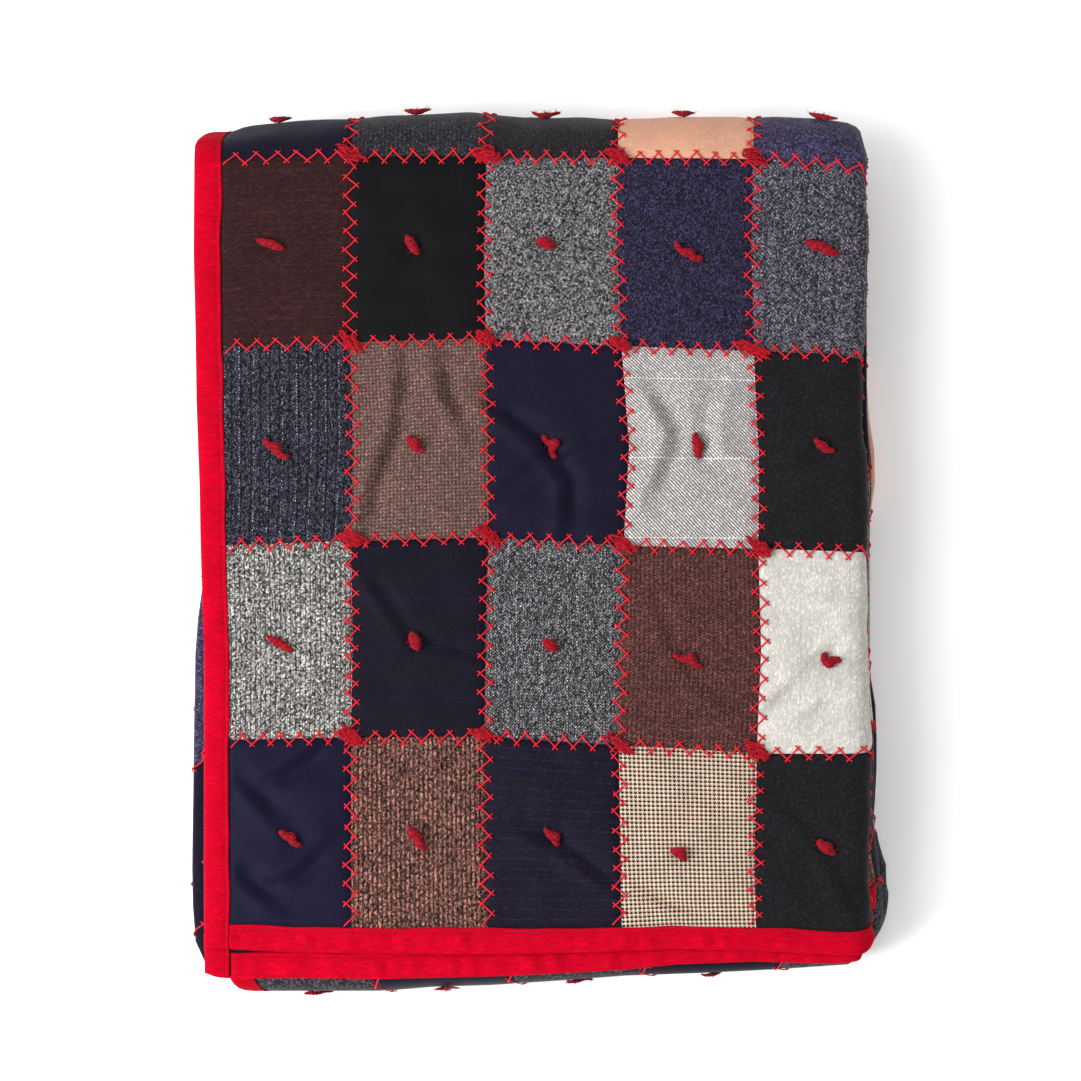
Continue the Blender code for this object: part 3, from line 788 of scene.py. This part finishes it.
# Smooth worsteds have a soft gloss on their creases, and woollens have none.
glossy = ("navy_gabardine", "navy_worsted", "dark_navy_windowpane", "navy_pinstripe", "black_barathea")
suiting_finishes = [
    woven(name, plan, roughness=0.6, gloss=0.07) if name in glossy else woven(name, plan)
    for name, plan in suitings.items()
]
print(len(suiting_finishes), "suitings")

# %% [markdown]
# ## Which patch is which
# The patches of the top ply are set out as the photograph shows them, from the front row to the
# fold at the back. Patches that only show at the edges of the pile follow it too. The hidden ones
# repeat the same cloths in a mixed order, as a quilter with a box of samples would.

# %% Lay out the patches
front_to_back = (
    "navy_gabardine brown_birdseye_tweed navy_pinstripe cream_houndstooth black_flannel",
    "cream_birdseye_tweed dark_navy_windowpane grey_herringbone brown_tick_check cream_windowpane",
    "blue_grey_herringbone taupe_glen_check navy_worsted light_grey_sharkskin black_flannel",
    "brown_plaid_worsted black_barathea salt_and_pepper_tweed navy_flannel slate_stripe_flannel",
    "dark_navy_twill dark_grey_check charcoal_flannel camel_flannel violet_navy_flannel",
)
rows = len(row_lines) + 1
columns = len(column_lines)
layout = (7 * np.arange(rows)[:, None] + 3 * np.arange(columns)[None, :]) % len(suiting_names)
for j, names in enumerate(front_to_back):
    layout[j, :5] = [suiting_names.index(name) for name in names.split()]
# Lower packs, where their folds show at the right, the left and the front: (row, column).
seen_low = {
    "violet_navy_flannel": ((5, 4), (5, 5), (11, 10), (1, 10), (2, 10)),
    "camel_flannel": ((6, 4), (6, 5)),
    "navy_worsted": ((7, 4), (7, 5), (8, 4), (9, 1)),
    "dark_navy_twill": ((8, 5), (9, 3), (9, 10), (10, 10), (0, 10)),
    "grey_tweed": ((9, 4), (9, 5), (9, 0), (9, 2)),
}
for name, places in seen_low.items():
    for place in places:
        layout[place] = suiting_names.index(name)
rng = np.random.default_rng(11)
patch_turn = np.radians(rng.uniform(-1.6, 1.6, layout.shape))
print("patches", layout.shape)

# %% [markdown]
# ## The quilt as one sheet
# The cloth is a closed sheet: the patchwork face, the inner face and a rim between them. Its grid
# is fine where the quilt shows and coarse inside the pile. Two rows of points lie 0.3 mm apart
# at each seam, so that the lap of one patch over the next is a sharp small step.


# %% Rows and columns of the grid
def stations(total, turns, seams, fine_end, fine_step, coarse_step, cluster, far_cluster, turn_steps):
    """Places of grid lines: close ones where the cloth shows, clusters at seams, steps in turns."""
    fine = np.arange(rim_inset, fine_end, fine_step)
    coarse = np.arange(fine_end, total - rim_inset, coarse_step)
    even = np.concatenate((fine, coarse))
    edges = np.array((binding_width + 0.0003, binding_width + 0.0012, binding_width + 0.0026))
    marks = [edges, total - edges]
    for k in (0, 2, 4):
        marks.append(np.linspace(turns[k], turns[k + 1], turn_steps[k // 2] + 1))
    near = np.asarray([s for s in seams if s < fine_end])
    far = np.asarray([s for s in seams if fine_end <= s < total - 0.02])
    marks.append((near[:, None] + cluster).ravel())
    marks.append((far[:, None] + far_cluster).ravel())
    marks = np.concatenate(marks)
    marks = marks[(marks > rim_inset) & (marks < total - rim_inset)]
    clear = np.abs(even[:, None] - marks[None, :]).min(1) > 0.45 * fine_step
    found = np.concatenate((even[clear], marks, (rim_inset, total - rim_inset)))
    found = np.unique(np.round(found, 6))
    keep = np.concatenate(([True], np.diff(found) > 0.00012))
    found = found[keep]
    if len(found) % 2 == 0:
        found = np.sort(np.append(found, (found[-2] + found[-3]) / 2))
    return found


cluster = mm * np.array((-3.4, -1.9, -0.8, -0.15, 0.15, 0.8, 1.9, 3.4))
far_cluster = mm * np.array((-2.2, -0.15, 0.15, 2.2))
far_pair = mm * np.array((-0.15, 0.15))
fine_depth = 0.640
a_lines = stations(
    width, turns_across, column_lines, relief_width, 0.0040, 0.030, cluster, far_pair, (10, 4, 4)
)
b_lines = stations(
    length, turns_along, row_lines, fine_depth, 0.0033, 0.024, cluster, far_cluster, (18, 10, 8)
)
print("grid", len(a_lines), "by", len(b_lines))

# %% The sheet
pressed_half = cloth / 2 - 0.00115


def pressed(a, b):
    """1 under the binding and 0 clear of it, with a slope 2 mm wide between."""
    from_rim = np.minimum(np.minimum(a, width - a), np.minimum(b, length - b))
    return ramp(from_rim, binding_width + 0.0025, binding_width + 0.0005)


def closed_sheet(name, a_lines, b_lines, finishes):
    """The patchwork face on the full grid, the inner face on every second line, and the rim."""
    a, b = np.meshgrid(a_lines, b_lines, indexing="ij")
    under = pressed(a, b)
    w = (cloth / 2) * (1.0 - under) + pressed_half * under + relief(a, b) * (1.0 - under)
    outer = lay(a, b, w)
    a2, b2 = a[::2, ::2], b[::2, ::2]
    under2 = pressed(a2, b2)
    inner = lay(a2, b2, -(cloth / 2) * (1.0 - under2) - pressed_half * under2)
    points = np.concatenate((outer.reshape(-1, 3), inner.reshape(-1, 3)))
    o = np.arange(a.size).reshape(a.shape)
    n = a.size + np.arange(a2.size).reshape(a2.shape)
    quads = np.stack((o[:-1, :-1], o[1:, :-1], o[1:, 1:], o[:-1, 1:]), -1).reshape(-1, 4)
    backs = np.stack((n[:-1, :-1], n[:-1, 1:], n[1:, 1:], n[1:, :-1]), -1).reshape(-1, 4)
    rims = []
    for edge, back, forward in (
        (o[:, 0], n[:, 0], False),
        (o[:, -1], n[:, -1], True),
        (o[0], n[0], True),
        (o[-1], n[-1], False),
    ):
        face = np.stack((edge[2::2], edge[1::2], edge[:-2:2], back[:-1], back[1:]), -1)
        rims.append(face[:, ::-1] if forward else face)
    rims = np.concatenate(rims)
    flat_a = np.concatenate((a.ravel(), a2.ravel()))
    flat_b = np.concatenate((b.ravel(), b2.ravel()))
    middle_a = flat_a[quads].mean(1)
    middle_b = flat_b[quads].mean(1)
    i = np.searchsorted(column_lines, middle_a)
    j = np.searchsorted(row_lines, middle_b)
    finish_of = layout[j, np.minimum(i, columns - 1)]
    turn = patch_turn[j, np.minimum(i, columns - 1)][:, None]
    pa = flat_a[quads] - middle_a.mean() + 0.37 * i[:, None]
    pb = flat_b[quads] - middle_b.mean() + 0.53 * j[:, None]
    turned = np.stack((pa * np.cos(turn) - pb * np.sin(turn), pa * np.sin(turn) + pb * np.cos(turn)), -1)
    rest = np.concatenate((backs.ravel(), rims.ravel()))
    flat = np.concatenate((turned.reshape(-1, 2), np.stack((flat_a[rest], flat_b[rest]), -1)))
    corners = np.concatenate((quads.ravel(), rest))
    sizes = np.concatenate((np.full(len(quads) + len(backs), 4), np.full(len(rims), 5)))
    plain = suiting_names.index("dark_navy_twill")
    finish_of = np.concatenate((finish_of, np.full(len(backs) + len(rims), plain)))
    return to_mesh(name, points, corners, sizes, flat, finishes, finish_of)


quilt = closed_sheet("quilt_patchwork", a_lines, b_lines, suiting_finishes)
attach(quilt, "root")
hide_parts("quilt_cloth")

# %% [markdown]
# ## The red binding
# The binding is a strip of plain-woven red cotton, folded over the edge and topstitched near its
# inner edge. Each strip here is one profile, wrapped round the rim, carried along the edge and
# then folded with the quilt. Hand-sewn binding puckers, so its faces wave a little along it.

# %% Red cotton
red_cotton = woven(
    "red_cotton",
    Weave("plain", 0.55, "#a4001a", "#9a0018", (), (), 0.12, (1.5, 5), 0.10, 0.06, 0.05),
    sheen=0.0,
    roughness=0.8,
    gloss=0.03,
)

# %% Binding strips
upper = np.array(
    (
        (16.5, 1.6), (16.6, 2.2), (16.2, 2.65), (15.4, 2.75), (14.7, 2.5), (14.2, 2.15), (13.6, 2.42),
        (12.0, 2.5), (9.0, 2.45), (6.0, 2.3), (3.6, 2.05), (2.0, 1.75), (0.8, 1.2), (0.15, 0.5),
    )
)
under_side = np.array(((15.5, 1.35), (10.0, 1.35), (5.0, 1.3), (2.2, 1.15), (1.3, 0.6)))
outside = np.concatenate((upper, ((0.0, 0.0),), upper[::-1] * (1.0, -1.0)))
inside = np.concatenate((under_side * (1.0, -1.0), ((1.05, 0.0),), under_side[::-1]))
profile = mm * np.concatenate((outside, inside))
outer_count = len(outside)


def binding_strip(name, lie, far, runs, shown_end, finish):
    """The profile at each place along the strip. Puckers lift its faces where it shows."""
    inward = np.broadcast_to(profile[:, 0], (len(runs), len(profile)))
    w = np.broadcast_to(profile[:, 1], inward.shape)
    s = np.broadcast_to(runs[:, None], inward.shape)
    shown = ramp(s, shown_end, shown_end - 0.01) * (w > 0.0)
    if lie == "end" and not far:
        shown = shown - ramp(s, turns_across[5], turns_across[5] + 0.01) * (w < 0.0)
    face = np.sin(math.pi * ramp(inward, 0.0, 0.014))
    pucker = waves(s, inward * 0.30, 21 + int(far), 14, 0.008, 0.024)
    outer = np.arange(len(profile)) < outer_count
    # A smooth limit, half of v + root(v squared + 0.5 squared), keeps the dips off the cloth.
    swell = 0.40 + (1.70 if lie == "end" else 0.90) * pucker
    swell = 0.5 * (swell + np.sqrt(swell * swell + 0.25))
    w = w + outer * shown * face * swell * mm
    inward = inward + 0.5 * mm * waves(s, 0.0 * s, 5, 6, 0.03, 0.10) * (inward / binding_width)
    # The ends are folded in, so they close.
    from_end = np.minimum(s - runs[0], runs[-1] - s)
    closing = np.clip((from_end - 0.0008) / 0.0005, 0.03, 1.0)
    rounding = np.sqrt(1.0 - 0.5 * (1.0 - ramp(from_end, 0.0, 0.0014)) ** 2)
    w = w * np.where(outer, rounding, closing)
    total = width if lie == "side" else length
    place_in = total - inward if far else inward
    points = lay(place_in, s, w) if lie == "side" else lay(s, place_in, w)
    round_it = np.concatenate(([0.0], np.cumsum(np.linalg.norm(np.diff(profile, axis=0), axis=1))))
    next_round = np.append(round_it[1:], round_it[-1] + 0.0003)
    return tubes(name, points[None], s[None], round_it, next_round, finish, swapped=lie == "end")


def strip_runs(first, last, turns, step):
    """Places along a strip: even steps, closer ones in the turns, and three near each end."""
    even = np.arange(first + 0.002, last - 0.002, step)
    marks = [np.linspace(turns[k], turns[k + 1], 13) for k in (0, 2, 4)]
    ends = np.array((0.0, 0.0008, 0.0014))
    marks = np.concatenate(marks + [first + ends, last - ends])
    clear = np.abs(even[:, None] - marks[None, :]).min(1) > 0.4 * step
    runs = np.unique(np.round(np.concatenate((even[clear], marks)), 6))
    runs = runs[(runs >= first - 1e-9) & (runs <= last + 1e-9)]
    return runs[np.concatenate(([True], np.diff(runs) > 0.0003))]


inset = binding_width + 0.0003
side_runs = strip_runs(0.0, length, turns_along, 0.0040)
end_runs = strip_runs(inset, width - inset, turns_across, 0.0036)
strips = {
    name: binding_strip(name + "_cotton", lie, far, runs, shown_end, red_cotton)
    for name, lie, far, runs, shown_end in (
        ("binding_left", "side", False, side_runs, 0.62),
        ("binding_second_side", "side", True, side_runs, 0.0),
        ("binding_front", "end", False, end_runs, 0.45),
        ("binding_inner_end", "end", True, end_runs, 0.0),
    )
}
for stood_for, strip in strips.items():
    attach(strip, "root")
    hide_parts(stood_for)

# %% [markdown]
# ## The stitches
# Herringbone stitch runs to and fro over each seam, and crosses itself just inside both its rows
# of tips. Each stroke is a short round thread, and a few dozen faces are enough for one. All the
# strokes of a seam are worked out together. They start above the one before and end under the next.

# %% Stitch yarn and felted yarn
def yarn_finish(name, light, dark, twist, roughness, sheen, fibre):
    """Red wool. twist is the length of one turn of the yarn, and fibre the size of its fuzz."""
    finish, tree, shader = new_finish(name, roughness, sheen)
    flat = node(tree, "ShaderNodeUVMap", {"uv_map": "flat"}).outputs[0]
    run = node(tree, "ShaderNodeSeparateXYZ", inputs={0: flat}).outputs
    spiral = maths(tree, "MULTIPLY_ADD", run[0], 1.0 / twist, run[1])
    strand = maths(tree, "SINE", maths(tree, "MULTIPLY", spiral, 4.0 * math.pi))
    place = node(tree, "ShaderNodeTexCoord").outputs["Object"]
    mix = maths(tree, "MULTIPLY_ADD", strand, 0.14, noise(tree, place, 1.0 / fibre, 4.0))
    shade_range = {"Value": mix, "From Min": 0.30, "From Max": 0.72}
    shade = node(tree, "ShaderNodeMapRange", {}, shade_range).outputs[0]
    tree.links.new(mixed(tree, shade, linear(dark), linear(light)), shader.inputs["Base Color"])
    add_bump(tree, shader, mix, 0.5, 0.0003)
    return finish


stitch_red = yarn_finish("red_stitch_yarn", "#c81a2a", "#a81020", 0.0022, 0.75, 0.05, 0.0006)
felt_red = yarn_finish("felted_red_wool_yarn", "#8e0a1b", "#5c0610", 0.0060, 0.95, 0.04, 0.0011)
matted_red = yarn_finish("matted_red_wool_yarn", "#a60c1e", "#700813", 0.0060, 0.95, 0.04, 0.0011)
sewing_red = yarn_finish("red_sewing_thread", "#860818", "#5c0610", 0.0010, 0.6, 0.05, 0.0004)

# %% Herringbone strokes
Seam = namedtuple("Seam", "way line first last")


def herringbone(seam, seed, tip=0.0050, overlap=0.0019, thick=0.00054):
    """Spines and radii of the strokes over one seam. Stroke k runs along it from k * pitch - overlap
    to (k + 1) * pitch + overlap, across it from left to right if k is even and back if it is odd."""
    rng = np.random.default_rng(seed)
    strokes = 2 * max(1, round((seam.last - seam.first) / stitch_pitch))
    k = np.arange(strokes)
    pitch = (seam.last - seam.first) / strokes
    tips = rng.normal(0.0, 0.0005, (strokes + 1, 2))
    sign = np.where(k % 2 == 0, -1.0, 1.0)
    begin = seam.first + k * pitch - overlap + tips[:-1, 0]
    end = seam.first + (k + 1) * pitch + overlap + tips[1:, 0]
    side0 = sign * (tip + tips[:-1, 1])
    side1 = -sign * (tip + tips[1:, 1])
    t = np.array((0.0, 0.07, 0.22, 0.5, 0.78, 0.93, 1.0))
    lift = thick * np.array((-1.2, 1.5, 2.3, 1.2, 0.9, 0.7, -1.2))
    shape = np.array((0.5, 1.0, 1.0, 1.0, 1.0, 1.0, 0.5))
    run = begin[:, None] + (end - begin)[:, None] * t
    side = side0[:, None] + (side1 - side0)[:, None] * t
    bend = rng.normal(0.0, 0.0003, (strokes, 1)) * np.sin(math.pi * t)
    a = seam.line + side if seam.way == "column" else run + bend
    b = run + bend if seam.way == "column" else seam.line + side
    w = cloth / 2 + relief(a, b) + lift
    return np.stack((a, b, w), -1), np.broadcast_to(thick * shape, a.shape)


def stitch_piece(name, seams, seed, sides=5):
    """One piece of all the strokes over some seams."""
    spines, radii = zip(*(herringbone(seam, seed + k) for k, seam in enumerate(seams)))
    piece = yarn_mesh(name, np.concatenate(spines), np.concatenate(radii), sides, stitch_red)
    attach(piece, "root")


first_in = binding_width + 0.003
top_last = 0.639
under_first = 0.653
under_last = 1.30
front_fold_end = 1.25
# The seam at the right side isn't stitched between these, where the front fold is rolled under.
rolled_under = (1.05, 1.28)
left_turn = (turns_across[2] - 0.008, turns_across[3] + 0.008)
right_turn = (turns_across[0] - 0.004, turns_across[1] + 0.006)
top_seams = [Seam("column", line, first_in, top_last) for line in column_seams]
top_seams += [Seam("row", line, first_in, right_turn[1]) for line in row_seams[:4]]
low_rows = [line for line in row_lines[4:] if line < front_fold_end]
under_seams = [Seam("column", line, under_first, under_last) for line in column_seams]
under_seams += [Seam("row", line, first_in, right_turn[1]) for line in low_rows]
side_seams = [Seam("column", crest_seam, first_in, rolled_under[0])]
side_seams += [Seam("column", crest_seam, rolled_under[1], length - first_in)]
side_seams += [Seam("row", line, *right_turn) for line in row_lines if line > front_fold_end]
side_seams += [Seam("row", line, *left_turn) for line in row_lines]
stitch_piece("stitches_top", top_seams, 100)
stitch_piece("stitches_sides", side_seams, 200, 4)
stitch_piece("stitches_underside", under_seams, 300, 4)

# %% Topstitching on the binding
topstitch_line = 0.0142
topstitch_pitch = 0.0031
topstitch_length = 0.0025
thread_radius = 0.00022


def topstitch(name, lines):
    """Short level stitches, sunk in the binding 2.3 mm inside its inner edge."""
    t = np.array((0.0, 0.2, 0.8, 1.0))
    lift = 0.00016 * np.array((-1.5, 0.9, 0.9, -1.5))
    spines = []
    for way, first, last, level in lines:
        start = np.arange(first, last, topstitch_pitch)
        run = start[:, None] + topstitch_length * t
        side = topstitch_line + 0.0004 * waves(run, 0.0 * run, 5, 6, 0.03, 0.10)
        w = level + lift + 0.0 * run
        spines.append(np.stack((side, run, w) if way == "side" else (run, side, w), -1))
    spine = np.concatenate(spines)
    thick = np.broadcast_to(thread_radius * np.array((0.6, 1.0, 1.0, 0.6)), spine.shape[:2])
    piece = yarn_mesh(name, spine, thick, 4, sewing_red)
    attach(piece, "root")


topstitch(
    "binding_topstitch",
    (
        ("side", 0.004, length - 0.01, 0.00225),
        ("end", inset + 0.002, right_turn[1], 0.00225),
        ("end", 0.003, 0.011, 0.0030),
    ),
)

# %% [markdown]
# ## The yarn ties
# Each patch is held by a thick felted yarn, tied once, with both ends cut short. The knot is a
# round lump and each end is a tapered, lumpy yarn. Over the crossings of the seams the yarn lies
# flat, with its fibres matted into the stitches.


# %% One tie
def tie_yarns(ties, taper, rise):
    """Spines and radii of each tie's two ends and its knot, as rows of rings. taper is how much
    thinner an end gets along its length, and rise how far its tip stands off the cloth."""
    spines, radii = [], []
    t = np.linspace(0.0, 1.0, 12)
    for tie in ties:
        knot = tie.knot * mm
        base = cloth / 2 + float(relief(tie.a, tie.b))
        swing = math.sin(700.0 * tie.a + 500.0 * tie.b)
        for lie, reach in ((tie.first, tie.first_length), (tie.second, tie.second_length)):
            angle = math.radians(lie)
            run = t * reach * mm
            bend = (0.16 + 0.10 * swing) * reach * mm * np.sin(math.pi * t) * (1.0 if lie > 0 else -1.0)
            a = tie.a + run * math.cos(angle) - bend * math.sin(angle)
            b = tie.b + run * math.sin(angle) + bend * math.cos(angle)
            thick = knot * (0.84 + 0.13 * np.sin(2.2 * math.pi * t + swing)) * np.sqrt(1.0 - 0.95 * t**5)
            thick = thick * (1.0 - taper * t)
            thick[0] *= 0.3
            w = cloth / 2 + relief(a, b) + 0.75 * thick + 0.8 * mm * np.sin(math.pi * t) + rise * t * t
            spines.append(np.stack((a, b, w), -1))
            radii.append(thick)
        angle = math.radians(tie.first - 60)
        run = (t - 0.5) * 1.9 * knot
        a = tie.a + run * math.cos(angle)
        b = tie.b + run * math.sin(angle)
        w = np.full_like(t, base + 0.95 * knot)
        spines.append(np.stack((a, b, w), -1))
        radii.append(knot * 0.98 * np.sqrt(np.clip(1.02 - (2.0 * t - 1.0) ** 2, 0.0, 1.0)))
    return np.array(spines), np.array(radii)


def fibres(spines, radii, each, seed):
    """Loose fibres on felted yarn: each leaves the yarn's side at a random place and curls over."""
    rng = np.random.default_rng(seed)
    count = len(spines) * each
    yarn = np.repeat(np.arange(len(spines)), each)
    ring = rng.integers(1, spines.shape[1] - 1, count)
    start, thick = spines[yarn, ring], radii[yarn, ring]
    turn = rng.uniform(-0.4, math.pi + 0.4, count)
    heading = np.stack((np.cos(turn), rng.uniform(-0.9, 0.9, count), np.sin(turn)), -1)
    curl = rng.normal(0.0, 1.0, (count, 3))
    reach = rng.uniform(0.8, 2.6, count) * mm
    t = np.linspace(0.0, 1.0, 4)
    out = heading[:, None] * (0.7 * thick[:, None] + reach[:, None] * t)[..., None]
    out = out + curl[:, None] * (0.45 * reach[:, None] * t * t)[..., None]
    spine = start[:, None] + out
    low = start[:, None, 2] - thick[:, None] * 0.6
    spine[..., 2] = np.maximum(spine[..., 2], low)
    return spine, np.broadcast_to(0.14 * mm * np.array((1.0, 0.9, 0.7, 0.35)), spine.shape[:2])


def felt_piece(name, spines, radii, stood_for, lumps, each, seed, sides=14, finish=felt_red):
    """One piece of felted yarns with their loose fibres, which stands for its CAD nodes."""
    yarns = yarn_mesh(name, spines, radii, sides, finish, lumps, seed)
    loose = yarn_mesh(name + "_fuzz", *fibres(spines, radii, each, seed + 7), 3, finish)
    for piece in (yarns, loose):
        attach(piece, "root")
    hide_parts(*stood_for)


def tie_piece(name, ties, stood_for, taper=0.12, rise=0.0, lumps=0.07, each=22, seed=4):
    """One piece of several ties."""
    felt_piece(name, *tie_yarns(ties, taper, rise), stood_for, lumps, each, seed)


for j, row in enumerate(patch_ties):
    stood_for = [f"tie_row{j + 1}_col{i + 1}" for i in range(5)]
    tie_piece(f"felted_ties_row{j + 1}", row, stood_for, seed=40 + j)

# %% Ties on the back and front folds
fold_ties_across = (0.048, 0.138, 0.225, 0.318, 0.406)
back_row = (top_run + underside) / 2 - 0.011
front_row = float(turns_along[2] + turns_along[3]) / 2
back_ties = [
    Tie(a, back_row, first, 10, second, 10, 2.5)
    for a, first, second in zip(fold_ties_across, (140, 150, 165, 150, 140), (55, 25, 20, 50, -20))
]
front_ties = [
    Tie(a, front_row, first, 10, second, 11, 1.9)
    for a, first, second in zip(fold_ties_across, (-150, -165, -140, -160), (-30, 10, -15, -35))
]
for fold, ties, taper, rise, seed in (
    ("back", back_ties, 0.35, 0.0035, 51),
    ("front", front_ties, 0.5, 0.0022, 52),
):
    stood_for = [f"tie_{fold}_col{i + 1}" for i in range(len(ties))]
    tie_piece(f"felted_ties_{fold}", ties, stood_for, taper, rise, seed=seed)

# %% Ties over the crossings
def tangle(centre_a, centre_b, lie, half_length, half_width, loops, seed):
    """Matted yarn over a crossing: thin loops, each a slow pair of sine curves in a flat oval."""
    rng = np.random.default_rng(seed)
    t = np.linspace(0.0, 1.0, 14)
    along_it = rng.normal(0.0, 0.33, loops)[:, None] * half_length
    beside_it = rng.normal(0.0, 0.38, loops)[:, None] * half_width
    phase = rng.uniform(0.0, 2.0 * math.pi, (3, loops, 1))
    speed = 2.0 * math.pi * rng.uniform(0.4, 0.85, (3, loops, 1))
    u = along_it + half_length * rng.uniform(0.2, 0.5, (loops, 1)) * np.cos(speed[0] * t + phase[0])
    v = beside_it + half_width * rng.uniform(0.4, 0.8, (loops, 1)) * np.sin(speed[1] * t + phase[1])
    slim = 1.0 - 0.25 * np.clip(np.abs(u) / half_length, 0.0, 1.3) ** 2
    v = v * slim
    angle = math.radians(lie)
    a = centre_a + u * math.cos(angle) - v * math.sin(angle)
    b = centre_b + u * math.sin(angle) + v * math.cos(angle)
    heap = 2.0 * mm * np.clip(slim, 0.2, 1.0) * rng.uniform(0.15, 1.0, (loops, 1))
    heap = heap + 0.4 * mm * np.sin(speed[2] * t + phase[2])
    w = cloth / 2 + np.maximum(relief(a, b), -0.4 * mm) + 0.7 * mm + heap
    thick = rng.uniform(0.55, 0.95, (loops, 1)) * mm * (0.75 + 0.25 * np.sin(math.pi * t))
    thick = thick * np.array((0.35, *(1.0,) * 12, 0.35))
    return np.stack((a, b, w), -1), thick


corner_lie = ((-35, -15, -40, -30), (-20, -38, -25, -32), (-42, -22, -30, -18), (-28, -12, -35, -30))
long_crossing = (2, 3)
loops = 26
corner_parts = []
for j, line in enumerate(row_seams[:4]):
    for i, side in enumerate(column_seams):
        reach = 15.0 if (j, i) == long_crossing else 10.5 + 1.5 * math.sin(5.0 * i + 3.0 * j)
        half_width = 3.3 + 0.4 * math.cos(4 * i + j)
        lie = corner_lie[j][i]
        part = tangle(side, line + mm, lie, reach * mm, half_width * mm, loops, 61 + 4 * j + i)
        corner_parts.append(part)
felt_piece(
    "felted_corner_ties",
    np.concatenate([part[0] for part in corner_parts]),
    np.concatenate([part[1] for part in corner_parts]),
    [f"corner_tie_row{j + 1}_col{i + 1}" for j in range(4) for i in range(4)],
    lumps=0.12,
    each=5,
    seed=61,
    sides=6,
    finish=matted_red,
)

# %% [markdown]
# ## Floor, light and camera
# The photograph is taken from almost straight above, on white, with a large soft light from the
# left. A white world gives even light, and two soft area lights on the left give it direction.

# %% Floor
floor_mesh = bpy.data.meshes.new("floor")
floor_places = [(4 * i, 4 * j, -0.0002) for i, j in ((-1, -1), (1, -1), (1, 1), (-1, 1))]
floor_mesh.from_pydata(floor_places, [], [(0, 1, 2, 3)])
floor = bpy.data.objects.new("floor", floor_mesh)
bpy.context.scene.collection.objects.link(floor)
white_paint, _, white_shader = new_finish("matt_white_board", 0.7, 0.0, gloss=0.5)
white_shader.inputs["Base Color"].default_value = (0.93, 0.93, 0.93, 1.0)
floor_mesh.materials.append(white_paint)

# %% Light
world = bpy.data.worlds.new("studio")
world.use_nodes = True
world.node_tree.nodes["Background"].inputs["Color"].default_value = (1.0, 1.0, 1.0, 1.0)
world.node_tree.nodes["Background"].inputs["Strength"].default_value = 1.0
bpy.context.scene.world = world
bpy.context.scene.view_settings.view_transform = "Standard"


def panel(name, place, size, energy):
    """A square soft light that faces the quilt."""
    data = bpy.data.lights.new(name, "AREA")
    data.shape = "SQUARE"
    data.size = size
    data.energy = energy
    made = bpy.data.objects.new(name, data)
    made.location = place
    made.rotation_mode = "QUATERNION"
    made.rotation_quaternion = Vector(place).to_track_quat("Z", "Y")
    bpy.context.scene.collection.objects.link(made)


panel("key", (-2.1, -0.8, 1.7), 1.3, 78.0)
panel("soft_fill", (-2.6, -0.6, 3.4), 3.0, 140.0)

# %% Camera
target = Vector((0.003, -0.0117, 0.088))
elevation = math.radians(82)
distance = 4.5
camera_data = bpy.data.cameras.new("camera")
camera_data.sensor_width = 36.0
camera_data.lens = 227.5
camera = bpy.data.objects.new("camera", camera_data)
camera.location = target + distance * Vector((0.0, -math.cos(elevation), math.sin(elevation)))
camera.rotation_mode = "QUATERNION"
camera.rotation_quaternion = (camera.location - target).to_track_quat("Z", "Y")
bpy.context.scene.collection.objects.link(camera)
bpy.context.scene.camera = camera
